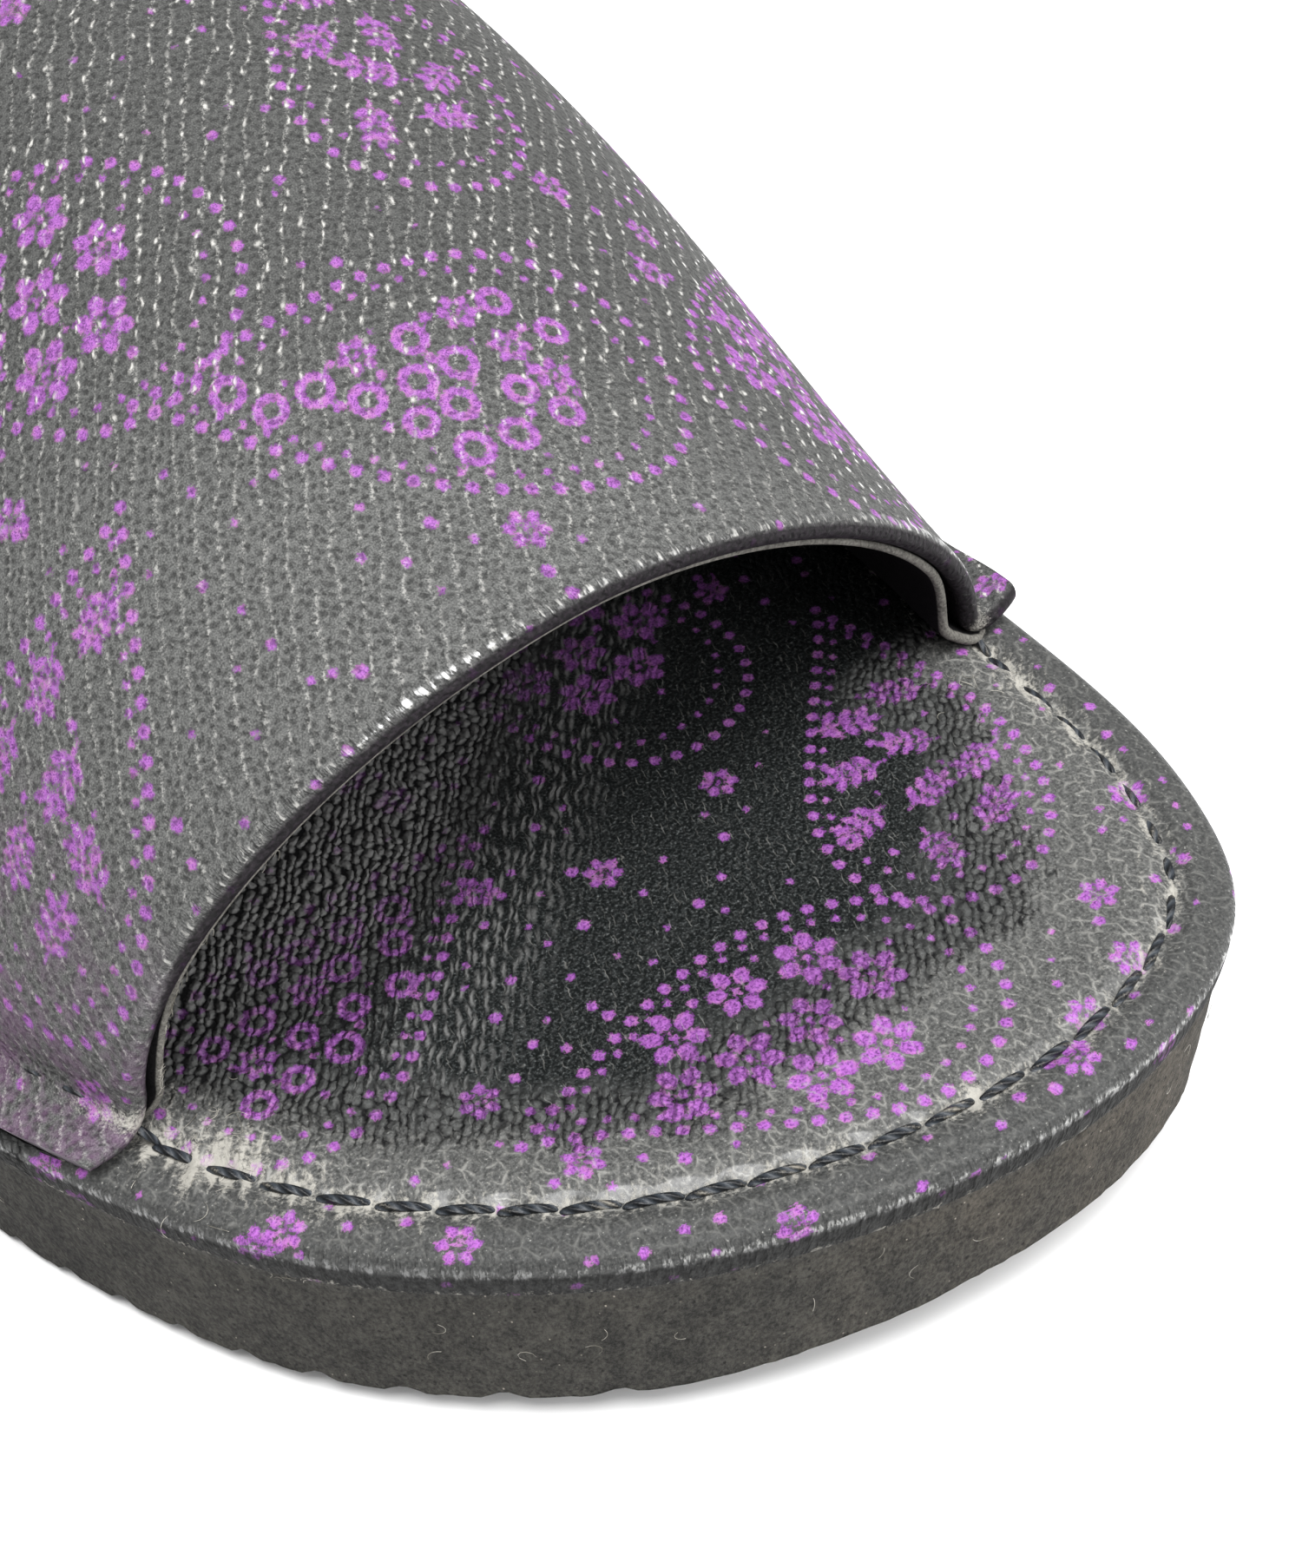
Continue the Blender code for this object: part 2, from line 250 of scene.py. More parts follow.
class Field:
    """A value that varies over a surface. Sums and products of fields add Math nodes to its material."""

    def __init__(self, tree, socket):
        self.tree = tree
        self.socket = socket

    def node(self, kind, settings, sockets, output=0):
        """Any other node: its settings first, then the values or links of its sockets."""
        made = self.tree.nodes.new(kind)
        for name, value in settings.items():
            setattr(made, name, value)
        for name, value in sockets.items():
            if isinstance(value, Field):
                self.tree.links.new(value.socket, made.inputs[name])
            else:
                made.inputs[name].default_value = value
        return Field(self.tree, made.outputs[output])

    def maths(self, operation, *values):
        return self.node("ShaderNodeMath", {"operation": operation}, dict(enumerate(values)))

    def __add__(self, other):
        return self.maths("ADD", self, other)

    def __sub__(self, other):
        return self.maths("SUBTRACT", self, other)

    def __rsub__(self, other):
        return self.maths("SUBTRACT", other, self)

    def __mul__(self, other):
        return self.maths("MULTIPLY", self, other)

    def __truediv__(self, other):
        return self.maths("DIVIDE", self, other)

    def __pow__(self, other):
        return self.maths("POWER", self, other)

    __radd__ = __add__
    __rmul__ = __mul__

    def part(self, axis):
        """One axis of a vector."""
        return self.node("ShaderNodeSeparateXYZ", {}, {"Vector": self}, axis)

    def sine(self):
        return self.maths("SINE", self)

    def higher(self, other):
        return self.maths("MAXIMUM", self, other)

    def rise(self, low, high, start=0.0, end=1.0):
        """Goes smoothly from start to end as the field goes from low to high."""
        return self.node(
            "ShaderNodeMapRange",
            {"interpolation_type": "SMOOTHSTEP"},
            {"Value": self, "From Min": low, "From Max": high, "To Min": start, "To Max": end},
        )

    def blend(self, first, second):
        """First colour where the field is 0, second where it is 1. A plain colour is red, green and blue."""
        first, second = ((*c, 1.0) if isinstance(c, tuple) else c for c in (first, second))
        return self.node("ShaderNodeMix", {"data_type": "RGBA"}, {0: self, 6: first, 7: second}, 2)

    def moved(self, amount, other):
        """Vector moved by another vector, times the amount."""
        scaled = other.node("ShaderNodeVectorMath", {"operation": "SCALE"}, {0: other, "Scale": amount})
        return self.node("ShaderNodeVectorMath", {"operation": "ADD"}, {0: self, 1: scaled})

    def speckle(self, scale, detail=2.0, roughness=0.5):
        """Noise on a vector in millimetres, as a value."""
        sockets = {"Vector": self, "Scale": scale, "Detail": detail, "Roughness": roughness}
        return self.node("ShaderNodeTexNoise", {}, sockets)


def new_material(name):
    """A material with its tree and its shader's sockets."""
    material = bpy.data.materials.new(name)
    material.use_nodes = True
    shader = material.node_tree.nodes["Principled BSDF"]
    return material, Field(material.node_tree, shader.outputs[0]), shader.inputs


def feed(field, socket):
    field.tree.links.new(field.socket, socket)


def place_on_piece(root, upright=1.0):
    """Place on a piece in millimetres. An upright value below 1 draws a pattern out in height."""
    sockets = {0: root.node("ShaderNodeTexCoord", {}, {}, "Object"), 1: (1.0 / MM, 1.0 / MM, upright / MM)}
    return root.node("ShaderNodeVectorMath", {"operation": "MULTIPLY"}, sockets)


def bump(root, height, strength, depth, inputs):
    """Let a height with a depth in millimetres shade the surface."""
    sockets = {"Height": height, "Strength": strength, "Distance": depth * MM}
    feed(root.node("ShaderNodeBump", {}, sockets), inputs["Normal"])


def foam_material():
    material, root, inputs = new_material("foam")
    place = place_on_piece(root, 0.6)
    cells = place.speckle(2.6, 4.0, 0.75)
    clouds = place.speckle(0.12, 3.0)
    mottles = place.speckle(0.55, 3.0, 0.6)
    across = place.part("X")
    # Darker towards the outer side (lower x): painted shade. The clouds make it browner at random.
    brown_and_side_shade = (across / 110.0 + clouds).rise(0.35, 1.05)
    ground = brown_and_side_shade.blend((0.009, 0.0086, 0.0075), (0.014, 0.012, 0.009))
    light = brown_and_side_shade.blend((0.058, 0.055, 0.047), (0.094, 0.081, 0.064))
    colour = (0.55 * cells + 0.30 * mottles + 0.15 * clouds).rise(0.36, 0.66).blend(ground, light)
    settings = {"voronoi_dimensions": "3D"}
    pores = root.node("ShaderNodeTexVoronoi", settings, {"Vector": place, "Scale": 1.3}, "Distance")
    pores = (pores + (cells - 0.5) * 0.4).rise(0.10, 0.24, 1.0, 0.0) * mottles.rise(0.42, 0.56)
    # The pores are painted near black: painted shade inside them.
    colour = (pores * 0.8).blend(colour, (0.007, 0.006, 0.005))
    specks = root.node("ShaderNodeTexVoronoi", settings, {"Vector": place, "Scale": 0.9}, "Distance")
    flecks = specks.rise(0.04, 0.10, 1.0, 0.0) * clouds.rise(0.42, 0.60)
    feed(flecks.blend(colour, (0.30, 0.27, 0.23)), inputs["Base Color"])
    feed(cells.rise(0.3, 0.7, 0.95, 0.8), inputs["Roughness"])
    inputs["Specular IOR Level"].default_value = 0.25
    relief = cells + mottles * 0.8 - pores * 0.5
    bump(root, relief, 0.9, 0.32, inputs)
    return material


foam_sole = foam_sole_mesh()
foam_sole.data.materials.append(foam_material())
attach(foam_sole, "root")
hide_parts("outsole")

# Footbed. A board and a thin pad wrapped in printed, coated cloth with a pebbled grain. The cloth turns down
# over the edge as a rounded lip, and a line of stitches near the edge pulls it into a shallow channel.
GAP = 0.3
FOOTBED_THICKNESS = 4.2
LIP_WIDTH = 1.4
LIP_WIDEST = 2.8
LIP_TUCK = 0.3
LIP_DROP = 0.35
LIP_STEPS = 20
STITCH_MARGIN = 5.1
STITCH_PITCH = 4.7
TOE_TIP_ROWS = 46
TOE_TIP_LENGTH = 10.0
FINE_ROW = 0.44
FINE_END = 92.0
COARSE_ROW = 0.9
HEEL_TIP_START = 275.0
HEEL_TIP_ROWS = 30
FINE_COLUMNS = 204
PULLS = (
    {"x": -38.5, "back": 40.0, "turn": 62.0, "length": 7.0, "width": 0.55, "height": 0.5},
    {"x": -35.6, "back": 37.2, "turn": 66.0, "length": 7.5, "width": 0.5, "height": 0.5},
    {"x": -33.0, "back": 34.6, "turn": 70.0, "length": 6.5, "width": 0.5, "height": 0.42},
    {"x": -30.4, "back": 31.8, "turn": 72.0, "length": 6.0, "width": 0.45, "height": 0.35},
    {"x": 44.6, "back": 38.0, "turn": 128.0, "length": 6.0, "width": 0.5, "height": 0.35},
    {"x": 43.6, "back": 33.5, "turn": 132.0, "length": 6.0, "width": 0.5, "height": 0.3},
)
edge_tree = kdtree.KDTree(LOOP_POINTS)
for index, (x, y) in enumerate(EDGE):
    edge_tree.insert((x, y, 0.0), index)
edge_tree.balance()
edge_steps = np.linalg.norm(np.roll(EDGE, -1, axis=0) - EDGE, axis=1)
edge_run = np.concatenate(([0.0], np.cumsum(edge_steps)[:-1]))
edge_length = edge_steps.sum()


def edge_distance(plan):
    """Distance of plan points from the footbed's edge, and how far round the edge they lie."""
    found = [edge_tree.find((x, y, 0.0)) for x, y in plan]
    return np.array([hit[2] for hit in found]), edge_run[[hit[1] for hit in found]]


def footbed_level(y):
    """Height of the footbed's flat top above the floor."""
    return foam_top(y) + GAP + FOOTBED_THICKNESS


def bell(value, centre, width):
    """Soft hump, 1 at its centre."""
    return np.exp(-(((value - centre) / width) ** 2))


def ramp(value, start, length):
    """Goes from 0 to 1 in a straight line over the length after the start."""
    return np.clip((value - start) / length, 0.0, 1.0)


def footbed_relief(plan, away, run):
    """Soft forms of the footbed's top: stitch channel, puffed margin, and pulls by the strap's ends."""
    pulled = 0.75 + 0.25 * np.cos(2.0 * np.pi * run / STITCH_PITCH)
    relief = -0.6 * pulled * bell(away, STITCH_MARGIN, 1.0)
    relief += 0.22 * bell(away, 3.1, 0.9) + 0.28 * bell(away, STITCH_MARGIN + 3.2, 2.0)
    spots = np.column_stack((plan, np.zeros(len(plan))))
    relief += 0.10 * ripple(spots, 9.0) * ramp(away, 3.0, 4.0)
    for pull in PULLS:
        turn = np.radians(pull["turn"])
        dx = plan[:, 0] - pull["x"]
        dy = plan[:, 1] - TOE_Y - pull["back"]
        along = dx * np.cos(turn) + dy * np.sin(turn)
        across = -dx * np.sin(turn) + dy * np.cos(turn)
        relief += pull["height"] * bell(along, 0.0, pull["length"] / 2.0) * bell(across, 0.0, pull["width"])
    return relief


def lip_profile():
    """Inset and height of the lip's rows: a quarter ellipse out from the top, and a tighter one under it."""
    rows = []
    for angle in np.radians(np.linspace(90.0, -88.0, LIP_STEPS)):
        if angle > 0.0:
            height = LIP_WIDEST + (FOOTBED_THICKNESS - LIP_WIDEST) * np.sin(angle)
            rows.append((LIP_WIDTH * (1.0 - np.cos(angle)), height))
        else:
            height = LIP_WIDEST + (LIP_WIDEST + LIP_DROP) * np.sin(angle)
            rows.append((LIP_TUCK * (1.0 - np.cos(angle)), height))
    return rows


def row_points(start, end, columns):
    shares = np.linspace(0.0, 1.0, columns + 1)[1:-1]
    return start + (end - start) * shares[:, None]


def footbed_mesh():
    """Lip rings round the board, and rows across its top that are finer in the toe half."""
    toe_rows = TOE_TIP_LENGTH * np.linspace(0.0, 1.0, TOE_TIP_ROWS, endpoint=False) ** 2
    fine_rows = np.arange(TOE_TIP_LENGTH, FINE_END, FINE_ROW)
    coarse_rows = np.arange(FINE_END, HEEL_TIP_START, COARSE_ROW)
    heel_rows = LENGTH - (LENGTH - HEEL_TIP_START) * np.linspace(1.0, 0.0, HEEL_TIP_ROWS) ** 2
    fractions = np.concatenate((toe_rows, fine_rows, coarse_rows, heel_rows)) / LENGTH
    fine_count = len(toe_rows) + len(fine_rows)
    points = []
    cloth = []
    travel = 0.0
    profile = lip_profile()
    before = profile[0]
    for inset, height in profile:
        travel += math.hypot(inset - before[0], height - before[1])
        before = (inset, height)
        ring = edge_ring(inset, fractions)
        points.append(np.column_stack((ring, foam_top(ring[:, 1]) + GAP + height)))
        cloth.append(edge_ring(LIP_WIDTH - travel, fractions))
    count = len(points[0])
    half = count // 2
    faces = ring_wall(0, count, LIP_STEPS, flip=True)
    rim = points[0][:, :2]
    body = []
    rows = []
    next_index = count * LIP_STEPS
    for k in range(1, half):
        columns = FINE_COLUMNS if k < fine_count else FINE_COLUMNS // 2
        between = row_points(rim[k], rim[count - k], columns)
        body.append(between)
        rows.append([k] + list(range(next_index, next_index + columns - 1)) + [count - k])
        next_index += columns - 1
    body = np.vstack(body)
    points.append(np.column_stack((body, footbed_level(body[:, 1]))))
    cloth.append(body)
    faces += [(0, rows[0][c], rows[0][c + 1]) for c in range(len(rows[0]) - 1)]
    for row, after in zip(rows, rows[1:]):
        if len(row) == len(after):
            faces += [(row[c + 1], row[c], after[c], after[c + 1]) for c in range(len(row) - 1)]
        else:
            for c in range(len(after) - 1):
                faces.append((row[2 * c + 2], row[2 * c + 1], row[2 * c], after[c], after[c + 1]))
    faces += [(half, rows[-1][c + 1], rows[-1][c]) for c in range(len(rows[-1]) - 1)]
    low = count * (LIP_STEPS - 1)
    faces.append((low, low + 1, low + count - 1))
    faces += [(low + k, low + k + 1, low + count - k - 1, low + count - k) for k in range(1, half - 1)]
    faces.append((low + half - 1, low + half, low + half + 1))
    points = np.vstack(points)
    cloth = np.vstack(cloth)
    away, run = edge_distance(points[:, :2])
    points[:, 2] += footbed_relief(points[:, :2], away, run)
    piece = mesh_piece("footbed_cover", points, faces)
    below = np.zeros(len(points))
    below[: count * LIP_STEPS] = np.repeat([FOOTBED_THICKNESS - height for _, height in profile], count)
    return piece, cloth, away, run, below


def add_values(piece, name, values):
    """Store one number, or a plan point in millimetres, on every vertex."""
    if values.ndim == 1:
        store = piece.data.attributes.new(name, "FLOAT", "POINT")
        store.data.foreach_set("value", values.astype(np.float32))
    else:
        store = piece.data.attributes.new(name, "FLOAT_VECTOR", "POINT")
        flat = np.column_stack((values, np.zeros(len(values)))).astype(np.float32)
        store.data.foreach_set("vector", flat.ravel())


# The cloth's print is leaf drops outlined in dots and filled with blossoms, rings or sprigs, with loose dots
# between them. It is kept as the distance from the nearest printed shape, so that its edge can be worn.
DOT_PITCH = 2.05
DOT_RADIUS = 0.58
INNER_DOT_RADIUS = 0.42
PRINT_FAR = 2.0


def leaf_drop(drop, scale):
    """Outline of a leaf drop: round at one end, pointed and bent aside at the other."""
    turn = np.linspace(0.0, 2.0 * np.pi, 240)
    along = drop["length"] / 2.0 * scale * np.cos(turn)
    across = drop["width"] / 2.0 * scale * 1.25 * np.sin(turn) * np.sin(turn / 2.0) ** 1.3
    across += drop["bend"] * np.clip(along / drop["length"] * 2.0 + 0.3, 0.0, None) ** 2
    angle = np.radians(drop["turn"])
    x = drop["u"] + along * np.cos(angle) - across * np.sin(angle)
    y = drop["v"] + along * np.sin(angle) + across * np.cos(angle)
    return np.column_stack((x, y))


def even_points(loop, pitch):
    """Points along a polyline at an even step close to the pitch."""
    run = np.concatenate(([0.0], np.cumsum(np.linalg.norm(np.diff(loop, axis=0), axis=1))))
    places = np.linspace(0.0, run[-1], max(int(round(run[-1] / pitch)), 3), endpoint=False)
    return np.column_stack((np.interp(places, run, loop[:, 0]), np.interp(places, run, loop[:, 1])))


def inside(loop, points):
    """Which points lie inside a closed polyline."""
    hit = np.zeros(len(points), bool)
    for (ax, ay), (bx, by) in zip(loop, np.roll(loop, -1, axis=0)):
        if ay == by:
            continue
        crosses = (ay > points[:, 1]) != (by > points[:, 1])
        hit ^= crosses & (points[:, 0] < (bx - ax) * (points[:, 1] - ay) / (by - ay) + ax)
    return hit


def drop_motifs(drop, random):
    """Dots round one leaf drop and the shapes that fill it."""
    motifs = [("dot", *p, DOT_RADIUS, 0.0) for p in even_points(leaf_drop(drop, 1.0), DOT_PITCH)]
    motifs += [("dot", *p, INNER_DOT_RADIUS, 0.0) for p in even_points(leaf_drop(drop, 0.86), DOT_PITCH)]
    pitch = {"blossom": 6.3, "ring": 4.2, "sprig": 6.4}[drop["fill"]]
    reach = drop["length"]
    steps = np.arange(-reach, reach, pitch)
    grid = []
    for index, step in enumerate(steps * 0.87):
        for other in steps + (pitch / 2.0 if index % 2 else 0.0):
            grid.append((drop["u"] + other, drop["v"] + step))
    grid = np.array(grid) + random.uniform(-0.5, 0.5, (len(grid), 2))
    room = inside(leaf_drop(drop, 0.70), grid)
    for x, y in grid[room]:
        turn = random.uniform(0.0, 2.0 * np.pi)
        if drop["fill"] == "blossom":
            motifs.append(("blossom", x, y, random.uniform(2.7, 3.1), turn))
        elif drop["fill"] == "ring":
            kind = "ring" if random.uniform() < 0.75 else "blossom"
            motifs.append((kind, x, y, random.uniform(1.0, 1.25) if kind == "ring" else 1.9, turn))
        else:
            motifs.append(("sprig", x, y, random.uniform(2.9, 3.4), turn))
    seeds = np.column_stack((grid[:, 0] + pitch / 2.0, grid[:, 1] + 0.3 * pitch))
    for x, y in seeds[inside(leaf_drop(drop, 0.74), seeds)]:
        motifs.append(("dot", x, y, random.uniform(0.30, 0.55), 0.0))
    return motifs


def loose_motifs(low, high, drops, random, share):
    """Loose dots and a few small blossoms in the spaces between the leaf drops."""
    steps = [np.arange(a, b, 3.3) for a, b in zip(low, high)]
    grid = np.array(np.meshgrid(*steps)).reshape(2, -1).T
    grid += random.uniform(-1.2, 1.2, grid.shape)
    free = np.ones(len(grid), bool)
    for drop in drops:
        free &= ~inside(leaf_drop(drop, 1.16), grid)
    motifs = []
    for x, y in grid[free]:
        chance = random.uniform()
        if chance < share:
            motifs.append(("dot", x, y, random.uniform(0.32, 0.62), 0.0))
        elif chance < share * 1.12:
            motifs.append(("blossom", x, y, 1.9, random.uniform(0.0, 2.0 * np.pi)))
    return motifs


def motif_gap(kind, dx, dy, size, turn):
    """Distance from a motif's edge, negative inside it."""
    reach = np.hypot(dx, dy)
    if kind == "dot":
        return reach - size
    if kind == "ring":
        return np.abs(reach - size) - 0.42
    angle = np.arctan2(dy, dx) - turn
    if kind == "blossom":
        step = np.pi / 3.0
        folded = (angle + step / 2.0) % step - step / 2.0
        along = reach * np.cos(folded) - 0.62 * size
        across = reach * np.sin(folded)
        petal = np.hypot(along * 0.78, across) - 0.262 * size
        return np.minimum(petal, reach - 0.15 * size)
    along = reach * np.cos(angle) / size
    across = np.abs(reach * np.sin(angle)) / size
    gap = np.hypot(along - np.clip(along, -0.9, 0.7), across) - 0.07
    for place in (-0.55, -0.1, 0.35):
        out = (along - place) * 0.6 + across * 0.8 - 0.36
        aside = (along - place) * 0.8 - across * 0.6
        gap = np.minimum(gap, np.hypot(out * 0.5, aside) - 0.15)
    gap = np.minimum(gap, np.hypot((along - 0.82) * 0.6, across) - 0.14)
    return gap * size


def print_distance(cloth, motifs):
    """Distance of each cloth point from the nearest printed shape, negative inside one."""
    gap = np.full(len(cloth), PRINT_FAR)
    order = np.argsort(cloth[:, 1])
    sorted_v = cloth[order, 1]
    for kind, u, v, size, turn in motifs:
        reach = size * 1.1 + 1.2
        first, last = np.searchsorted(sorted_v, (v - reach, v + reach))
        near = order[first:last]
        near = near[np.abs(cloth[near, 0] - u) < reach]
        dx = cloth[near, 0] - u
        dy = cloth[near, 1] - v
        gap[near] = np.minimum(gap[near], motif_gap(kind, dx, dy, size, turn))
    return gap


INK = (0.37, 0.110, 0.455)
INK_DARK = (0.115, 0.028, 0.160)
INK_SHADED = (0.020, 0.006, 0.030)
INK_PINK = (0.48, 0.19, 0.40)
DUST = (0.40, 0.385, 0.345)


def stored(root, name, output="Fac"):
    """A value that the mesh stores at its vertices."""
    return root.node("ShaderNodeAttribute", {"attribute_name": name}, {}, output)


def grain_cells(plan, turn, size, slip):
    """The plan in cells of a wandering, turned lattice whose columns slip past each other."""
    broad = plan.node("ShaderNodeTexNoise", {}, {"Vector": plan, "Scale": 0.25, "Detail": 1.0}, "Color")
    small = plan.node("ShaderNodeTexNoise", {}, {"Vector": plan, "Scale": 1.5, "Detail": 1.0}, "Color")
    sockets = {
        "Vector": plan.moved(1.8, broad).moved(0.45, small),
        "Rotation": (0.0, 0.0, math.radians(turn)),
        "Scale": (*size, 1.0),
    }
    cells = plan.node("ShaderNodeMapping", {"vector_type": "TEXTURE"}, sockets)
    across = cells.part("X")
    return plan.node("ShaderNodeCombineXYZ", {}, {"X": across, "Y": cells.part("Y") + across * slip})


def cell_value(cells, feature, randomness, output="Distance"):
    """One of the values that a cell pattern gives at each point."""
    settings = {"voronoi_dimensions": "2D", "feature": feature}
    sockets = {"Vector": cells, "Scale": 1.0, "Randomness": randomness}
    return cells.node("ShaderNodeTexVoronoi", settings, sockets, output)


def cell_oval(cells, randomness, reach, slip):
    """Distance from the middle of each cell's oval spot, as a share of the oval's half axes."""
    middle = cell_value(cells, "F1", randomness, "Position")
    offset = cells.node("ShaderNodeVectorMath", {"operation": "SUBTRACT"}, {0: cells, 1: middle})
    across = offset.part("X")
    along = (offset.part("Y") - across * slip) / reach[1]
    across = across / reach[0]
    return (across * across + along * along) ** 0.5


def column_spots(cells, rows, loose, reach):
    """Distance from oval spots that stand in the columns of a lattice, and each spot's own random value."""
    across = cells.part("X")
    column = across.maths("FLOOR", across)
    settings = {"noise_dimensions": "2D"}
    along = cells.part("Y") * rows
    along = along + 5.0 * column.node("ShaderNodeTexWhiteNoise", {"noise_dimensions": "1D"}, {"W": column})
    row = along.maths("FLOOR", along)
    spot = cells.node("ShaderNodeCombineXYZ", {}, {"X": column, "Y": row})
    scatter = cells.node("ShaderNodeTexWhiteNoise", settings, {"Vector": spot}, "Color")
    across = (across - column - 0.5 + (scatter.part("X") - 0.5) * loose[0]) / reach[0]
    along = (along - row - 0.5 + (scatter.part("Y") - 0.5) * loose[1]) / reach[1]
    return (across * across + along * along) ** 0.5, scatter.part("Z")


def strokes(cells, lean, size, waver):
    """Short thin strokes in leaning columns. Their width wavers, and each has its own strength."""
    across = cells.part("X") + cells.part("Y") * lean + (waver - 0.5) * 0.5
    sheared = cells.node("ShaderNodeCombineXYZ", {}, {"X": across, "Y": cells.part("Y")})
    line, chance = column_spots(sheared, 1.0, (0.7, 0.5), size)
    return line.rise(0.35, 1.0, 1.0, 0.0) * chance.rise(0.15, 0.95)


def print_over(colour, plan, gap, fine, hollow_shade, kept):
    """Lay the worn print over the cloth's own colour: thin at its edges, and darkened in the hollows as
    painted shade.
    """
    rough = plan.speckle(2.6, 2.0)
    ragged = gap + (fine - 0.5) * 0.7 + (rough - 0.5) * 0.5
    ink = (fine * 0.75 + rough * 0.25).rise(0.32, 0.58).blend(INK_DARK, INK)
    faded = ragged.rise(-0.40, -0.02) * plan.speckle(0.8, 2.0).rise(0.46, 0.62)
    # Ink in the hollows is darkened towards near black: painted shade.
    ink = hollow_shade.blend((faded * 0.5).blend(ink, INK_PINK), INK_SHADED)
    return (ragged.rise(-0.14, 0.06, 0.95, 0.0) * kept).blend(colour, ink)


GRAIN_TURN = -35.0
# Bead tops are painted lighter from the first of these lines to the second: painted light reaching under the
# strap.
BEADS_DARK_Y = -101.0
BEADS_LIT_Y = -86.0
# The painted highlight on the lip's crest fades out from here towards the outer side.
CREST_GLINT_FROM_X = -28.0
CREST_GLINT_FULL_X = -10.0


def footbed_material():
    """Raised beads by the strap, a smoother dark middle, and flat grey plates with dust towards the edge."""
    material, root, inputs = new_material("footbed_cloth")
    plan = stored(root, "cloth", "Vector")
    dust = stored(root, "dust")
    rim = stored(root, "rim")
    raised = stored(root, "raised")
    wear = stored(root, "wear")
    margin = stored(root, "margin")
    fine = plan.speckle(3.8, 2.0, 0.6)
    powder = plan.speckle(2.2, 4.0, 0.75)
    blotches = plan.speckle(0.85, 3.0)
    patches = plan.speckle(0.16, 3.0)
    worn = (wear + (patches - 0.5) * 0.7).rise(0.1, 0.9)

    # Grain: beads and pebbles with painted shade in the dark gaps between them, and long ridges where the
    # beads begin.
    cells = grain_cells(plan, GRAIN_TURN, (0.82, 1.05), 0.5)
    spot = cell_oval(cells, 0.42, (0.50, 0.60), 0.5) + (powder - 0.5) * 0.5
    tone = cell_value(cells, "F1", 0.42, "Color")
    patch = (blotches - worn * 0.06).rise(0.44, 0.56)
    pebbles = (wear + (patches - 0.5) * 0.3).rise(0.02, 0.20) * worn.rise(0.55, 0.95, 1.0, 0.15)
    beads = raised.rise(0.40, 0.9).higher(pebbles * (0.55 + patch * 0.4)).rise(0.0, 0.9, 0.10, 1.0)
    gap = spot.rise(0.66, 1.20) * beads
    long_cells = grain_cells(plan, GRAIN_TURN, (0.80, 2.20), 0.2)
    ridges = cell_oval(long_cells, 0.6, (0.34, 0.50), 0.2) + (powder - 0.5) * 0.8
    ridges = ridges.rise(0.25, 1.15, 1.0, 0.0) * raised.rise(0.02, 0.40) * raised.rise(0.62, 0.92, 1.0, 0.0)

    # Ground: nearly black cloth, bead tops and ridges by the strap painted lighter as painted light and
    # sheen, and grey plates where it is worn.
    speck = (fine * 0.65 + powder * 0.35).rise(0.46, 0.68)
    top = speck.blend((0.005, 0.006, 0.006), (0.052, 0.057, 0.057))
    top = (fine.rise(0.62, 0.74) * powder.rise(0.46, 0.60)).blend(top, (0.16, 0.165, 0.16))
    # Painted light: bead tops get lighter further under the strap, and the ridges get a painted sheen.
    inward = plan.part("Y").rise(BEADS_DARK_Y, BEADS_LIT_Y)
    painted_bead_light = (0.1 + inward * 0.8) * raised.rise(0.55, 0.95) * tone.rise(0.0, 1.0, 0.6, 1.0)
    top = painted_bead_light.higher(ridges * 0.5).blend(top, (0.24, 0.24, 0.235))
    top = (pebbles * (0.3 + tone * 0.5)).blend(top, (0.110, 0.112, 0.109))
    plate = (fine * 0.5 + powder * 0.5).rise(0.36, 0.66)
    plate = plate.blend((0.040, 0.041, 0.040), (0.135, 0.135, 0.130))
    plate = (margin * 0.45).blend(plate, (0.026, 0.027, 0.027))
    # The gaps between the beads are painted near black: painted shade in the grooves.
    colour = gap.blend(worn.rise(0.1, 0.8).blend(top, plate), (0.004, 0.004, 0.0045))
    pale = fine.rise(0.60, 0.74) * powder.rise(0.48, 0.62) * worn
    colour = (pale * 0.8).blend(colour, (0.42, 0.42, 0.39))
    kept = (0.78 + worn * 0.22) * (1.0 - raised.rise(0.3, 0.9) * inward * 0.6)
    # The grooves darken the print as painted shade.
    hollow_shade = gap * (0.5 - worn * 0.35)
    colour = print_over(colour, plan, stored(root, "print_gap"), fine, hollow_shade, kept)

    # Pale wear: short strokes along the grain, and a broken net of dust in its grooves.
    lanes = grain_cells(plan, GRAIN_TURN, (0.95, 1.90), 0.0)
    lines = strokes(lanes, 0.7, (0.08, 0.42), blotches) * (1.0 - raised)
    lines = lines * (0.55 - worn * 0.25 + dust * 0.6) * (1.0 - margin * 0.6)
    cross = strokes(cells, -0.5, (0.10, 0.40), patches) * (1.0 - raised) * 0.25 * (1.0 - margin)
    lines = (lines * patches.rise(0.36, 0.56, 0.35, 1.0)).higher(cross * blotches.rise(0.42, 0.58))
    weave = grain_cells(plan, GRAIN_TURN, (1.45, 1.25), 0.5)
    net = cell_value(weave, "DISTANCE_TO_EDGE", 0.8) + (powder - 0.5) * 0.45 + (fine - 0.5) * 0.25
    net = net.rise(-0.02, 0.15, 1.0, 0.0) * blotches.rise(0.40, 0.60) * rim.rise(0.0, 0.1, 1.0, 0.0)
    net = net * (worn * 0.55 + dust * 0.5).rise(0.1, 0.8)
    lines = (lines * 0.45).higher(net * (0.62 - margin * 0.37))
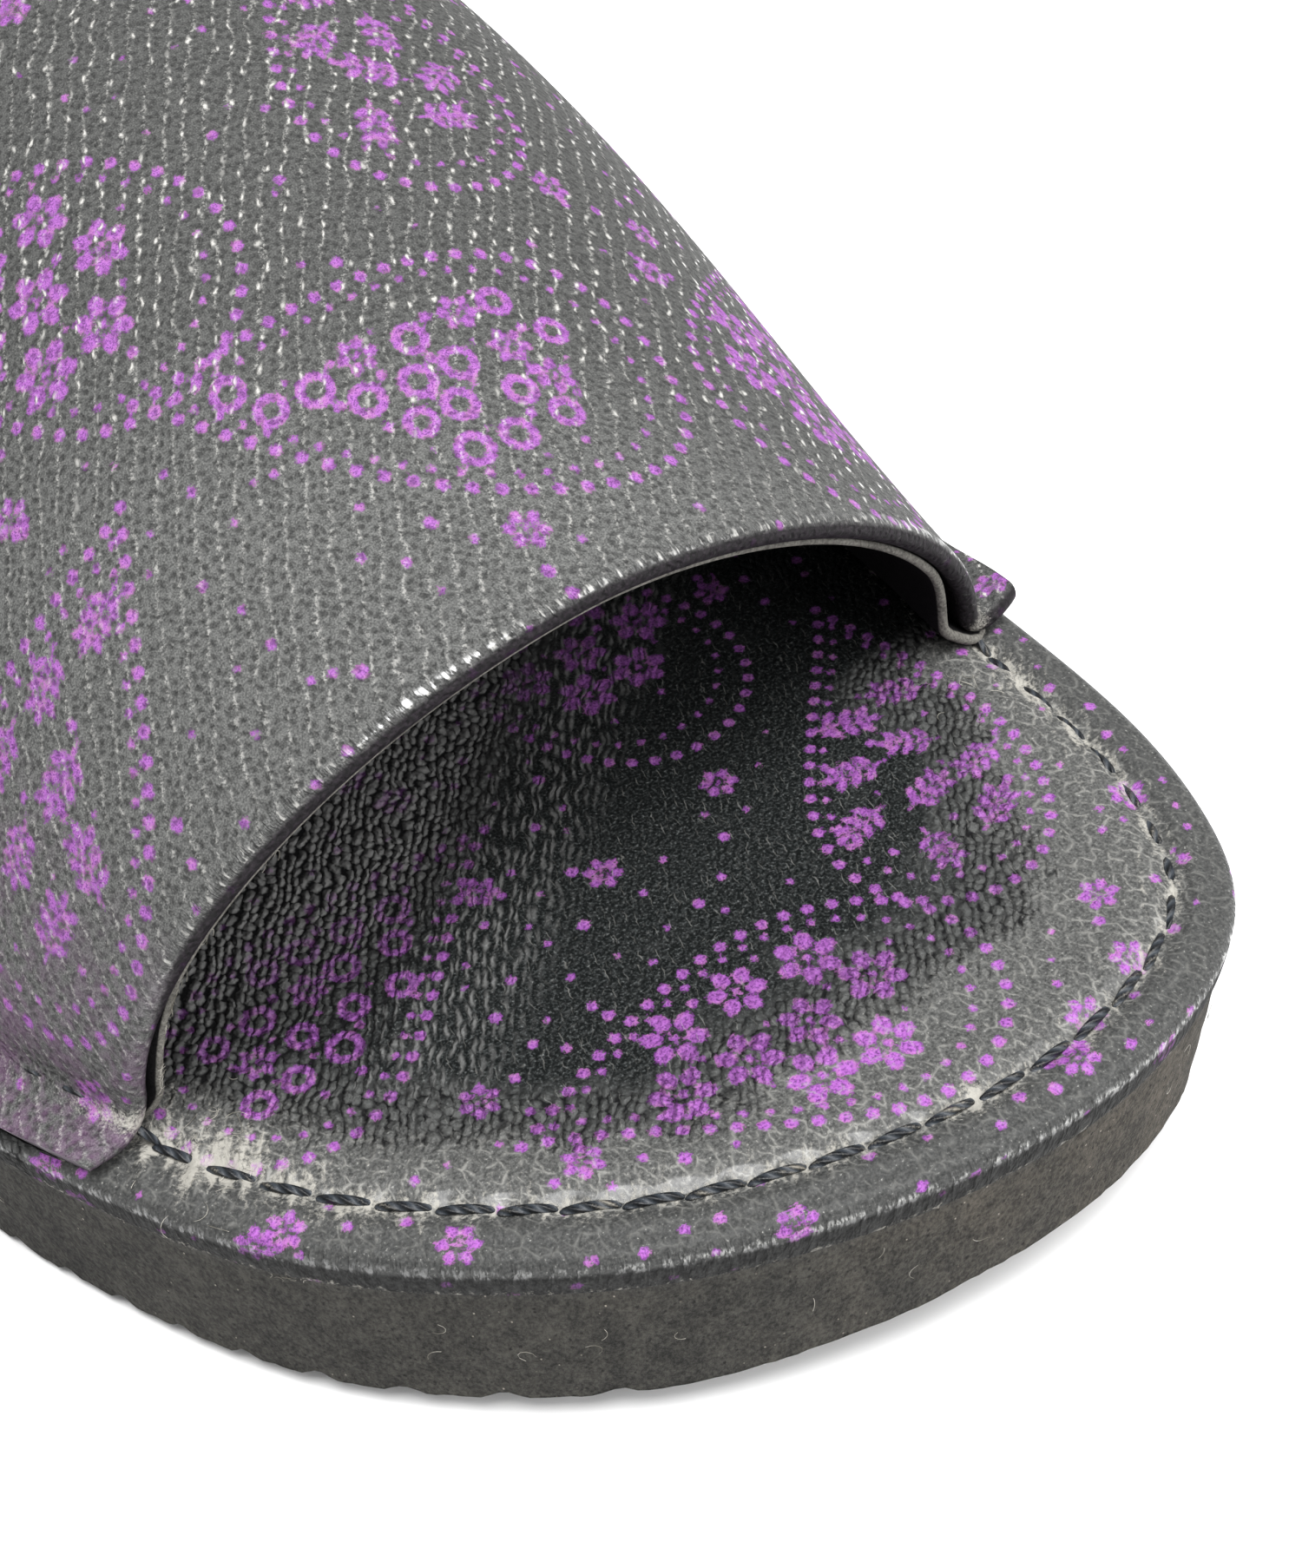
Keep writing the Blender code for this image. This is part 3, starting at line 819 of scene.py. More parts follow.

    # Lip: painted shade on the pleated wall, darker in its pleats, and a broken painted highlight with some
    # coat gloss along its crest.
    lane = stored(root, "lane", "Vector")
    pleats = lane.speckle(1.5, 2.0, 0.6)
    crest = rim.rise(0.08, 0.22) * rim.rise(0.34, 0.50, 1.0, 0.0)
    wall = rim.rise(0.26, 0.48)
    # The lip's wall is painted darker: painted shade, with darker streaks in its pleats.
    colour = (wall * (0.62 + pleats.rise(0.38, 0.62) * 0.36)).blend(colour, (0.008, 0.008, 0.008))
    broken = pleats.rise(0.44, 0.56, 1.0, 0.0) * lane.speckle(3.4, 2.0, 0.6).rise(0.42, 0.56)
    # A broken pale line painted along the crest: a painted highlight, fading out towards the outer side.
    painted_crest_glint = rim.rise(0.17, 0.25) * rim.rise(0.26, 0.36, 1.0, 0.0) * broken
    painted_crest_glint = painted_crest_glint * plan.part("X").rise(CREST_GLINT_FROM_X, CREST_GLINT_FULL_X)
    colour = (painted_crest_glint * (0.25 + powder.rise(0.40, 0.60) * 0.45)).blend(colour, (0.42, 0.42, 0.40))

    # Dust, in wisps along the grain.
    stretched = {"X": lanes.part("X") * 1.2, "Y": lanes.part("Y") * 0.4}
    wisps = root.node("ShaderNodeCombineXYZ", {}, stretched).speckle(1.0)
    haze = dust * (0.45 + wisps) + (wisps - 0.5) * 1.4 + (powder - 0.5) * 2.2
    settled = haze.rise(0.36, 1.05) * dust.rise(0.0, 0.2) * 0.85
    colour = lines.blend(colour, (0.38, 0.375, 0.35))
    feed(settled.blend(colour, DUST), inputs["Base Color"])
    feed(0.46 + (fine - 0.5) * 0.2 + gap * 0.3 + settled * 0.35 + wall * 0.3, inputs["Roughness"])
    gloss = 0.22 * rim.rise(0.0, 0.015, 1.0, 0.0) + crest * broken
    feed(gloss * (1.0 - settled) * (1.0 - gap), inputs["Coat Weight"])
    inputs["Coat Roughness"].default_value = 0.14
    inputs["Coat IOR"].default_value = 1.7
    inputs["Specular IOR Level"].default_value = 0.15
    dome = spot.rise(0.0, 1.25, 1.0, 0.0) * (0.15 + beads * 0.95) * (1.0 - worn.rise(0.5, 1.0) * 0.7)
    relief = dome + ridges * 0.6 - gap * 0.25 + (fine - 0.5) * 0.12 + settled * 0.15 + lines * 0.2
    relief = relief - rim.rise(0.0, 0.2) * pleats.rise(0.35, 0.65) * 0.6
    bump(root, relief, 1.0, 0.42, inputs)
    return material


FOOTBED_DROPS = (
    {"u": 6.0, "v": -121.0, "length": 40.0, "width": 24.0, "bend": 3.5, "turn": 158.0, "fill": "blossom"},
    {"u": -18.0, "v": -95.0, "length": 38.0, "width": 22.0, "bend": -3.5, "turn": 35.0, "fill": "ring"},
    {"u": 36.0, "v": -104.0, "length": 38.0, "width": 22.0, "bend": 3.0, "turn": 62.0, "fill": "sprig"},
    {"u": 18.0, "v": -72.0, "length": 42.0, "width": 24.0, "bend": -3.0, "turn": 110.0, "fill": "blossom"},
    {"u": -34.0, "v": -58.0, "length": 40.0, "width": 23.0, "bend": 3.0, "turn": 80.0, "fill": "sprig"},
    {"u": 40.0, "v": -52.0, "length": 36.0, "width": 20.0, "bend": 3.0, "turn": 95.0, "fill": "ring"},
    {"u": 0.0, "v": -30.0, "length": 42.0, "width": 25.0, "bend": 3.5, "turn": 20.0, "fill": "blossom"},
    {"u": -36.0, "v": -14.0, "length": 36.0, "width": 20.0, "bend": -3.0, "turn": 100.0, "fill": "ring"},
    {"u": 36.0, "v": -4.0, "length": 38.0, "width": 22.0, "bend": -3.0, "turn": 70.0, "fill": "sprig"},
    {"u": -4.0, "v": 12.0, "length": 40.0, "width": 23.0, "bend": 3.0, "turn": 140.0, "fill": "ring"},
    {"u": 28.0, "v": 40.0, "length": 40.0, "width": 22.0, "bend": 3.0, "turn": 105.0, "fill": "blossom"},
    {"u": -16.0, "v": 52.0, "length": 38.0, "width": 22.0, "bend": -3.5, "turn": 60.0, "fill": "sprig"},
    {"u": 16.0, "v": 80.0, "length": 42.0, "width": 24.0, "bend": 3.5, "turn": 25.0, "fill": "ring"},
    {"u": -12.0, "v": 100.0, "length": 38.0, "width": 22.0, "bend": 3.0, "turn": 115.0, "fill": "blossom"},
    {"u": 28.0, "v": 112.0, "length": 38.0, "width": 22.0, "bend": -3.0, "turn": 75.0, "fill": "sprig"},
    {"u": 2.0, "v": 132.0, "length": 30.0, "width": 18.0, "bend": 2.0, "turn": 5.0, "fill": "ring"},
)
LOOSE_SHARE = 0.58
FOOTBED_REACH = (62.0, 150.0)
OUTER_END = {"x": -36.0, "y": -106.0, "radius": 12.0}
INNER_END = {"x": 46.0, "y": -103.0, "radius": 10.0}
# Round spot by the strap's inner end where the footbed is kept dark as painted shade.
SHADE_SPOT = {"x": 31.0, "y": -102.0, "radius": 11.0}
BEAD_LINE_Y = -105.22
BEAD_LINE_SLOPE = 0.85
BEAD_LINE_REACH = 26.0
WEAR_WIDTH = 13.0
INNER_WEAR = 6.0
STRAP_FRONT_Y = -97.0
STRAP_REAR_Y = -8.0
DUST_MOST = 1.2


def round_spot(plan, spot):
    """Soft round spot on the plan, 1 in its middle."""
    return bell(np.hypot(plan[:, 0] - spot["x"], plan[:, 1] - spot["y"]), 0.0, spot["radius"])


footbed_cover, footbed_cloth, footbed_away, footbed_run, footbed_below = footbed_mesh()
random = np.random.default_rng(11)
low_reach = tuple(-side for side in FOOTBED_REACH)
footbed_motifs = loose_motifs(low_reach, FOOTBED_REACH, FOOTBED_DROPS, random, LOOSE_SHARE)
for drop in FOOTBED_DROPS:
    footbed_motifs += drop_motifs(drop, random)
footbed_plan = np.array([vertex.co[:2] for vertex in footbed_cover.data.vertices]) / MM
footbed_x, footbed_y = footbed_plan.T
footbed_spots = np.column_stack((footbed_plan, np.zeros(len(footbed_plan))))
patchy = 0.5 + 0.7 * ripple(footbed_spots, 6.0) + 0.4 * ripple(footbed_spots, 2.2)
footbed_lanes = np.column_stack((footbed_run, 0.2 * footbed_away, np.zeros(len(footbed_run))))
streaks = 0.5 + 0.9 * ripple(footbed_lanes, 1.3)
flat_top = footbed_below < 0.4
channel = bell(footbed_away, STITCH_MARGIN, 0.9) * flat_top
halo = bell(footbed_away, STITCH_MARGIN + 0.6, 3.0) * flat_top
outer_heap = round_spot(footbed_plan, OUTER_END) * bell(footbed_away, STITCH_MARGIN + 1.0, 4.5)
inner_heap = round_spot(footbed_plan, INNER_END) * halo
dust = channel * (0.30 + 0.36 * patchy) + halo * (0.02 + 0.18 * patchy + 0.28 * streaks)
dust += outer_heap * (0.28 + 0.4 * streaks) + 0.2 * inner_heap
dust += bell(footbed_below, FOOTBED_THICKNESS, 0.5) * (0.25 + 0.3 * patchy)
near_strap = ramp(footbed_y - BEAD_LINE_SLOPE * footbed_x, BEAD_LINE_Y, BEAD_LINE_REACH)
wear_width = WEAR_WIDTH + INNER_WEAR * ramp(footbed_x, -5.0, 20.0)
# Wear is taken out under the strap and in a round spot by its inner end, so the footbed stays dark there:
# painted shade of the strap.
under_strap = ramp(footbed_y, STRAP_FRONT_Y, 5.0) * (footbed_y < STRAP_REAR_Y)
wear = np.exp(-((footbed_away / wear_width) ** 4)) * (1.0 - under_strap)
wear *= 1.0 - round_spot(footbed_plan, SHADE_SPOT)
round_edge = (footbed_run + edge_length / 2.0) % edge_length
add_values(footbed_cover, "cloth", footbed_cloth)
add_values(footbed_cover, "lane", np.column_stack((round_edge, 0.3 * footbed_below)))
add_values(footbed_cover, "print_gap", print_distance(footbed_cloth, footbed_motifs))
add_values(footbed_cover, "dust", np.clip(dust, 0.0, DUST_MOST))
add_values(footbed_cover, "wear", wear)
add_values(footbed_cover, "margin", ramp(5.0 - footbed_away, 0.0, 1.6))
add_values(footbed_cover, "raised", near_strap * ramp(footbed_away, 7.5, 5.0))
add_values(footbed_cover, "rim", footbed_below / FOOTBED_THICKNESS)
footbed_cover.data.materials.append(footbed_material())
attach(footbed_cover, "root")
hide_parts("footbed")

# Strap cover. One wide piece of the same coated cloth, arched over the foot. Its front and rear edges are
# turned in, and its sides turn outward as flat flanges that are sewn down on the footbed.
STRAP_WALL = 2.2
COVER_THICKNESS = 2.0
FOLD_RADIUS = 1.8
FLANGE_ROWS = (
    {"inset": 0.0, "drop": 0.65},
    {"inset": 0.55, "drop": 0.38},
    {"inset": 1.1, "drop": 0.2},
    {"inset": 1.65, "drop": 0.05},
    {"inset": 2.2, "drop": 0.0},
)
STRAP_ROWS = (
    {"outer_back": 43.2, "inner_back": 45.4, "lean": -3.0, "height": 31.6, "shift": 0.0},
    {"outer_back": 75.5, "inner_back": 76.0, "lean": 0.0, "height": 42.3, "shift": 0.15},
    {"outer_back": 106.0, "inner_back": 106.5, "lean": 2.5, "height": 50.5, "shift": 0.2},
    {"outer_back": 138.0, "inner_back": 137.0, "lean": 4.0, "height": 54.5, "shift": 0.2},
)
OUTER_ROUNDNESS = 2.0
INNER_ROUNDNESS = (1.75, 2.0)
STRAP_SIDE_LENGTH = 97.0
FLANGE_CORNERS = (
    {"side": "inner", "lift": 1.7, "slant": 0.6, "round": 0.5, "reach": 9.0},
    {"side": "outer", "lift": 0.9, "slant": 0.8, "round": 0.5, "reach": 8.0},
)
STRAP_STEPS = 215
STRAP_COLUMNS = 300
ARCH_STEPS = 90
INNER_STEPS = 36
ROLL_STEPS = 7


def strap_row(fraction):
    """Sizes of the strap's section at a fraction of the way from the toe opening to the instep."""
    places = np.linspace(0.0, 1.0, len(STRAP_ROWS))
    sizes = {}
    for column in STRAP_ROWS[0]:
        values = [row[column] for row in STRAP_ROWS]
        sizes[column] = np.polyval(np.polyfit(places, values, len(STRAP_ROWS) - 1), fraction)
    return sizes


def fold_point(half, back):
    """Point of the stitch line at a distance back from the toe, and the way out to the edge."""
    y = TOE_Y + back
    x, behind, ahead = np.interp((y, y + 1.0, y - 1.0), half[:, 1], half[:, 0])
    slope = (behind - ahead) / 2.0
    out = np.array((1.0, -slope)) / np.hypot(1.0, slope)
    return np.array((x, y)), out * np.sign(x)


def flange_height(y):
    """Height of the strap's outer face where it lies flat on the footbed."""
    return footbed_level(y) + GAP + STRAP_WALL


def strap_half(fold, out, middle, crown, height, roundness):
    """Half of a section's outer face, from the end of the flange through the fold to the crown."""
    points = []
    for row in FLANGE_ROWS:
        place = fold + out * (STITCH_MARGIN - row["inset"])
        points.append((*place, flange_height(place[1]) - row["drop"]))
    fold_level = flange_height(fold[1])
    crown_level = flange_height(middle[1])
    fold_rises = FOLD_RADIUS * (1.0 - np.cos(np.radians(np.arange(0.0, 70.0, 10.0))))
    start = np.arcsin((FOLD_RADIUS / height) ** (roundness / 2.0))
    arch_rises = height * np.sin(np.linspace(start, np.pi / 2.0, ARCH_STEPS)) ** (2.0 / roundness)
    for rise in np.concatenate((fold_rises, arch_rises)):
        share = rise / height
        across = max(1.0 - share**roundness, 0.0) ** (1.0 / roundness)
        below = max(FOLD_RADIUS - rise, 0.0)
        turned_out = FOLD_RADIUS - np.sqrt(FOLD_RADIUS**2 - below**2)
        place = middle + (fold - middle) * across + (crown - middle) * share + out * turned_out
        points.append((*place, fold_level + (crown_level - fold_level) * share + rise))
    return points


def strap_section(fraction, inner_half, outer_half):
    """One section of the strap's outer face, from the outer flange over the foot to the inner one."""
    sizes = strap_row(fraction)
    outer_fold, outer_out = fold_point(outer_half, sizes["outer_back"])
    inner_fold, inner_out = fold_point(inner_half, sizes["inner_back"])
    middle = (outer_fold + inner_fold) / 2.0
    crown = middle + (inner_fold - middle) * sizes["shift"]
    crown[1] += sizes["lean"]
    inner_roundness = np.interp(fraction, (0.0, 1.0), INNER_ROUNDNESS)
    outer = strap_half(outer_fold, outer_out, middle, crown, sizes["height"], OUTER_ROUNDNESS)
    inner = strap_half(inner_fold, inner_out, middle, crown, sizes["height"], inner_roundness)
    return np.array(outer + inner[-2::-1])


def even_section(section, columns):
    """A section read at an even step of its own length, and that length."""
    run = np.concatenate(([0.0], np.cumsum(np.linalg.norm(np.diff(section, axis=0), axis=1))))
    places = np.linspace(0.0, run[-1], columns + 1)
    return np.column_stack([np.interp(places, run, section[:, k]) for k in range(3)]), run[-1]


def strap_face(steps, columns, setback=0.0):
    """Grid of the strap's outer face and the flat cloth point of each of its points."""
    inner_half, outer_half = inset_halves(STITCH_MARGIN)
    grid = np.zeros((steps, columns + 1, 3))
    cloth = np.zeros((steps, columns + 1, 2))
    for index, fraction in enumerate(np.linspace(setback, 1.0 - setback, steps)):
        grid[index], length = even_section(strap_section(fraction, inner_half, outer_half), columns)
        cloth[index, :, 0] = (np.linspace(0.0, 1.0, columns + 1) - 0.5) * length
        cloth[index, :, 1] = fraction * STRAP_SIDE_LENGTH
    return grid, cloth


def grid_frame(grid):
    """Outward normals of a grid and its unit direction towards the rear."""
    rear = np.gradient(grid, axis=0)
    across = np.gradient(grid, axis=1)
    normal = np.cross(rear, across)
    normal /= np.linalg.norm(normal, axis=2)[:, :, None]
    rear /= np.linalg.norm(rear, axis=2)[:, :, None]
    crown = normal[len(grid) // 2, grid.shape[1] // 2]
    return normal * np.sign(crown[2]), rear


def flange_share(grid):
    """How far out on a flange each point of a grid lies: 0 at the stitch line, 1 at the footbed's edge."""
    away = edge_distance(grid[:, :, :2].reshape(-1, 2))[0].reshape(grid.shape[:2])
    return np.clip(1.0 - away / STITCH_MARGIN, 0.0, 1.0)


def on_side(side, width):
    """Which columns of a strap's grid lie on the inner or the outer side."""
    inner = np.arange(width) >= width // 2
    return inner if side == "inner" else ~inner


def lift_flanges(grid):
    """Bring the flanges' front corners up off the footbed, rounded and slanted back."""
    _, rear = grid_frame(grid)
    steps, width = grid.shape[:2]
    out = flange_share(grid)
    back = np.linspace(0.0, STRAP_SIDE_LENGTH, steps)[:, None]
    for flange in FLANGE_CORNERS:
        side = out * on_side(flange["side"], width)
        lift = flange["lift"] * side**1.3 * bell(back, 0.0, flange["reach"])
        slant = (flange["slant"] * side + flange["round"] * side**4) * bell(back, 0.0, flange["reach"])
        grid = grid + rear * slant[:, :, None]
        grid[:, :, 2] += lift
    return grid


def strap_shell(name, grid, cloth, thickness, inner_steps):
    """Closed sheet of even thickness under a grid, with half-round front and rear edges.

    Also gives each point's flat cloth point, and how far it has turned: 0 on the outer face, 1 inside.
    """
    normal, rear = grid_frame(grid)
    steps, width = grid.shape[:2]
    thickness = np.broadcast_to(thickness, (width,))[:, None]
    radius = thickness / 2.0
    rows = [grid[k] for k in range(steps)]
    flat = [cloth[k] for k in range(steps)]
    turned = [0.0] * steps
    onward = np.hstack((np.zeros_like(radius), radius))
    turns = np.linspace(0.0, np.pi, ROLL_STEPS + 2)[1:-1]
    for turn in turns:
        rows.append(grid[-1] + rear[-1] * radius * np.sin(turn) - normal[-1] * radius * (1.0 - np.cos(turn)))
        flat.append(cloth[-1] + onward * turn)
        turned.append(turn / np.pi)
    picks = np.linspace(steps - 1, 0, inner_steps).round().astype(int)
    for k in picks:
        rows.append(grid[k] - normal[k] * thickness)
        flat.append(cloth[k])
        turned.append(1.0)
    for turn in turns[::-1]:
        rows.append(grid[0] - rear[0] * radius * np.sin(turn) - normal[0] * radius * (1.0 - np.cos(turn)))
        flat.append(cloth[0] - onward * turn)
        turned.append(turn / np.pi)
    count = len(rows)
    faces = []
    for r in range(count):
        a, b = r * width, (r + 1) % count * width
        faces += [(a + c, a + c + 1, b + c + 1, b + c) for c in range(width - 1)]
    first = steps + ROLL_STEPS
    for c in (0, width - 1):
        ends = []
        for r in range(inner_steps - 1):
            outer = [k for k in range(steps) if picks[r + 1] <= k <= picks[r]]
            ends.append([first + r, first + r + 1] + outer)
        ends.append(list(range(steps - 1, first + 1)))
        ends.append([first + inner_steps - 1] + list(range(first + inner_steps, count)) + [0])
        for end in ends:
            side = [row * width + c for row in end]
            faces.append(side if c else side[::-1])
    return mesh_piece(name, np.concatenate(rows), faces), np.concatenate(flat), np.repeat(turned, width)


STRAP_GRAIN_TURN = -33.0


def strap_material():
    """The same cloth less worn: flat and finely speckled, with soft pits and glossy nicks in columns."""
    material, root, inputs = new_material("strap_cloth")
    plan = stored(root, "cloth", "Vector")
    rim = stored(root, "rim")
    turned = stored(root, "turned")
    glint_and_shade_zone = stored(root, "glint_and_shade_zone")
    fine = plan.speckle(6.5, 2.0, 0.6)
    powder = plan.speckle(2.4, 4.0, 0.7)
    blotches = plan.speckle(0.9, 3.0)

    # Grain: glossy nicks and pale threads in columns, and soft pits. The nicks are also painted pale as
    # glints.
    lattice = grain_cells(plan, STRAP_GRAIN_TURN, (1.65, 1.85), 0.0)
    nick, chance = column_spots(lattice, 1.0, (0.40, 0.7), (0.12, 0.22))
    nick = (nick + (fine - 0.5) * 1.3).rise(0.20, 1.25, 1.0, 0.0)
    nick = nick * (chance * 0.9 + glint_and_shade_zone * 0.62).rise(0.86, 1.24)
    threads = lattice.part("X")
    threads = threads - threads.maths("FLOOR", threads) - 0.5 + (fine - 0.5) * 0.35
    threads = threads.maths("ABSOLUTE", threads).rise(0.02, 0.14, 1.0, 0.0) * powder.rise(0.46, 0.60)
    dents = grain_cells(plan, STRAP_GRAIN_TURN, (0.82, 0.98), 0.5)
    dent = cell_oval(dents, 0.6, (0.40, 0.30), 0.5) + (powder - 0.5) * 1.2
    dent = dent.rise(0.0, 1.35, 1.0, 0.0) * (1.0 - glint_and_shade_zone * 0.25)

    # Ground: grey speckled cloth, stained by the print on its outer side.
    top = (fine * 0.55 + powder * 0.35 + blotches * 0.1).rise(0.34, 0.66)
    top = top.blend((0.036, 0.037, 0.036), (0.152, 0.153, 0.148))
    # Painted shade: the ground is darker in the strap's upper zone.
    top = (glint_and_shade_zone * 0.32).blend(top, (0.004, 0.004, 0.004))
    top = (fine.rise(0.58, 0.74) * powder.rise(0.45, 0.62) * 0.5).blend(top, (0.22, 0.22, 0.20))
    # The pits are painted darker: painted shade, a little more in the upper zone.
    colour = (dent * (0.58 + glint_and_shade_zone * 0.14)).blend(top, (0.012, 0.012, 0.012))
    stain = stored(root, "tint") * (blotches * 0.5 + plan.speckle(0.22, 2.0) * 0.5).rise(0.40, 0.60)
    colour = (stain * (0.15 + fine * 0.5)).blend(colour, (0.15, 0.060, 0.15))
    colour = print_over(colour, plan, stored(root, "print_gap"), fine, dent * 0.55, 0.86)
    lines = threads * (0.22 + blotches.rise(0.45, 0.62) * 0.2)
    # The nicks are painted pale: a painted glint.
    colour = lines.higher(nick * 0.9).blend(colour, (0.56, 0.55, 0.52))

    # Edge: painted shade where the cloth turns in, on its roll and inner face, and small glossy ribs along
    # its crest that are also painted pale as a highlight. Dust lies by the stitches.
    painted_edge_shade = powder.rise(0.40, 0.66).blend((0.003, 0.0024, 0.003), (0.017, 0.012, 0.017))
    # Painted shade on the turned-in edge and the inner face.
    colour = (turned * 0.95).blend(colour, painted_edge_shade)
    crosswise = root.node("ShaderNodeCombineXYZ", {}, {"X": plan.part("X"), "Y": plan.part("Y") * 0.25})
    ribs = crosswise.speckle(1.5, 3.0, 0.6)
    # Ribs painted pale along the edge's crest: a painted highlight.
    colour = (rim.rise(0.75, 1.0) * ribs.rise(0.53, 0.62) * 0.5).blend(colour, (0.56, 0.55, 0.52))
    settled = (stored(root, "dust") + (powder - 0.5) * 1.3 + (fine - 0.5) * 0.8).rise(0.40, 1.0) * 0.85
    feed(settled.blend(colour, DUST), inputs["Base Color"])
    feed(0.62 + (fine - 0.5) * 0.2 - nick * 0.2 - rim * 0.2 + settled * 0.2, inputs["Roughness"])
    gloss = nick.higher(rim.rise(0.4, 0.9) * ribs.rise(0.47, 0.57))
    feed(gloss * (1.0 - settled) * (1.0 - turned), inputs["Coat Weight"])
    inputs["Coat Roughness"].default_value = 0.16
    inputs["Coat IOR"].default_value = 1.8
    inputs["Specular IOR Level"].default_value = 0.18
    relief = nick * 0.6 - dent * 0.4 + rim * ribs.rise(0.42, 0.58) * 0.7 + (fine - 0.5) * 0.15
    bump(root, relief, 1.0, 0.26, inputs)
    return material


STRAP_DROPS = (
    {"u": -38.0, "v": 14.0, "length": 38.0, "width": 22.0, "bend": 3.0, "turn": 20.0, "fill": "sprig"},
    {"u": 2.0, "v": 20.0, "length": 42.0, "width": 25.0, "bend": -3.5, "turn": 165.0, "fill": "ring"},
    {"u": 42.0, "v": 18.0, "length": 40.0, "width": 24.0, "bend": 3.0, "turn": 50.0, "fill": "blossom"},
    {"u": -56.0, "v": 42.0, "length": 36.0, "width": 20.0, "bend": 3.0, "turn": 100.0, "fill": "ring"},
    {"u": -20.0, "v": 48.0, "length": 42.0, "width": 25.0, "bend": 3.5, "turn": 130.0, "fill": "blossom"},
    {"u": 20.0, "v": 54.0, "length": 38.0, "width": 22.0, "bend": 3.0, "turn": 75.0, "fill": "sprig"},
    {"u": 54.0, "v": 54.0, "length": 38.0, "width": 22.0, "bend": -3.0, "turn": 95.0, "fill": "ring"},
    {"u": -46.0, "v": 78.0, "length": 38.0, "width": 22.0, "bend": -3.0, "turn": 40.0, "fill": "sprig"},
    {"u": -4.0, "v": 84.0, "length": 40.0, "width": 23.0, "bend": 3.0, "turn": 10.0, "fill": "ring"},
    {"u": 40.0, "v": 86.0, "length": 40.0, "width": 22.0, "bend": 3.0, "turn": 150.0, "fill": "blossom"},
)
STRAP_LOOSE_SHARE = 0.42
STRAP_REACH_LOW = (-86.0, -4.0)
STRAP_REACH_HIGH = (86.0, 104.0)
strap_grid, strap_cloth = strap_face(STRAP_STEPS, STRAP_COLUMNS)
strap_grid = lift_flanges(strap_grid)
strap_cover, cover_cloth, cover_turned = strap_shell(
    "strap_cover", strap_grid, strap_cloth, COVER_THICKNESS, INNER_STEPS
)
random = np.random.default_rng(5)
strap_motifs = loose_motifs(STRAP_REACH_LOW, STRAP_REACH_HIGH, STRAP_DROPS, random, STRAP_LOOSE_SHARE)
for drop in STRAP_DROPS:
    strap_motifs += drop_motifs(drop, random)
strap_spots = np.array([vertex.co for vertex in strap_cover.data.vertices]) / MM
strap_away = edge_distance(strap_spots[:, :2])[0]
above = strap_spots[:, 2] - flange_height(strap_spots[:, 1])
cover_u, cover_v = cover_cloth.T
patchy = 0.5 + 0.7 * ripple(strap_spots, 5.0) + 0.4 * ripple(strap_spots, 1.9)
strap_dust = bell(strap_away, STITCH_MARGIN, 1.8) * bell(above, 0.0, 1.6) * (0.35 + 0.5 * patchy) + 0.05
edge_gap = np.minimum(cover_v, STRAP_SIDE_LENGTH - cover_v)
# The rim value marks the edge zone that gets glossy ribs and their painted highlight.
shine_from = np.where(cover_u > 0.0, 0.0, 7.0)
edge_shine = np.clip(1.3 - edge_gap / 0.8, 0.0, 1.0) * (cover_turned < 0.14) * ramp(above, shine_from, 9.0)
# The turned value marks where the edge is painted in shade: the turned-in roll and the cover's inner face.
dark_from = 0.08 + 0.46 * ramp(-cover_u, 40.0, 12.0)
add_values(strap_cover, "cloth", cover_cloth)
add_values(strap_cover, "print_gap", print_distance(cover_cloth, strap_motifs))
add_values(strap_cover, "dust", np.clip(strap_dust, 0.0, DUST_MOST))
add_values(strap_cover, "rim", edge_shine)
add_values(strap_cover, "turned", ramp(cover_turned, dark_from, 0.14))
add_values(strap_cover, "tint", ramp(-cover_u, 38.0, 22.0))
# Upper zone of the strap, which gets more painted glints and a ground darkened as painted shade.
add_values(strap_cover, "glint_and_shade_zone", ramp(0.515 * cover_u + 0.857 * cover_v, 8.0, 18.0))
strap_cover.data.materials.append(strap_material())
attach(strap_cover, "root")
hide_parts("upper")

# Strap lining. A sheet of grey felt glued inside the cover, its faces painted near black as shade under the
# strap.
# Its cut edge shows under the turned edge as a pale line, which is thickest at the sides, where the felt has
# come loose at its front corners.
LINING_GAP = 0.1
OUTER_LINING = 0.9
CROWN_LINING = 0.56
INNER_LINING = 1.15
LINING_SETBACK = -0.002
LINING_STEPS = 110
LINING_COLUMNS = 260
LINING_CORNERS = (
    {"side": "inner", "top": 12.0, "low": 3.0, "gap": 1.4, "reach": 14.0, "ahead": 0.3, "hidden": 0.2},
    {"side": "outer", "top": 16.0, "low": 4.0, "gap": 0.15, "reach": 9.0, "ahead": 0.9, "hidden": 0.02},
)


def felt_material():
    material, root, inputs = new_material("felt")
    place = place_on_piece(root)
    fibres = place.speckle(3.2, 4.0, 0.7)
    clouds = place.speckle(0.3, 2.0)
    tone = (fibres * 0.7 + clouds * 0.3).rise(0.32, 0.68)
    cut = stored(root, "cut")
    # The felt's faces are near black: painted shade under the strap. Only the cut edge shows the felt's own
    # grey.
    worn = tone.blend((0.002, 0.0015, 0.002), (0.008, 0.007, 0.008))
    pale = tone.blend((0.075, 0.072, 0.064), (0.26, 0.25, 0.225))
    feed(cut.blend(worn, pale), inputs["Base Color"])
    inputs["Roughness"].default_value = 0.95
    inputs["Specular IOR Level"].default_value = 0.2
    bump(root, fibres, 0.8, 0.35, inputs)
    return material


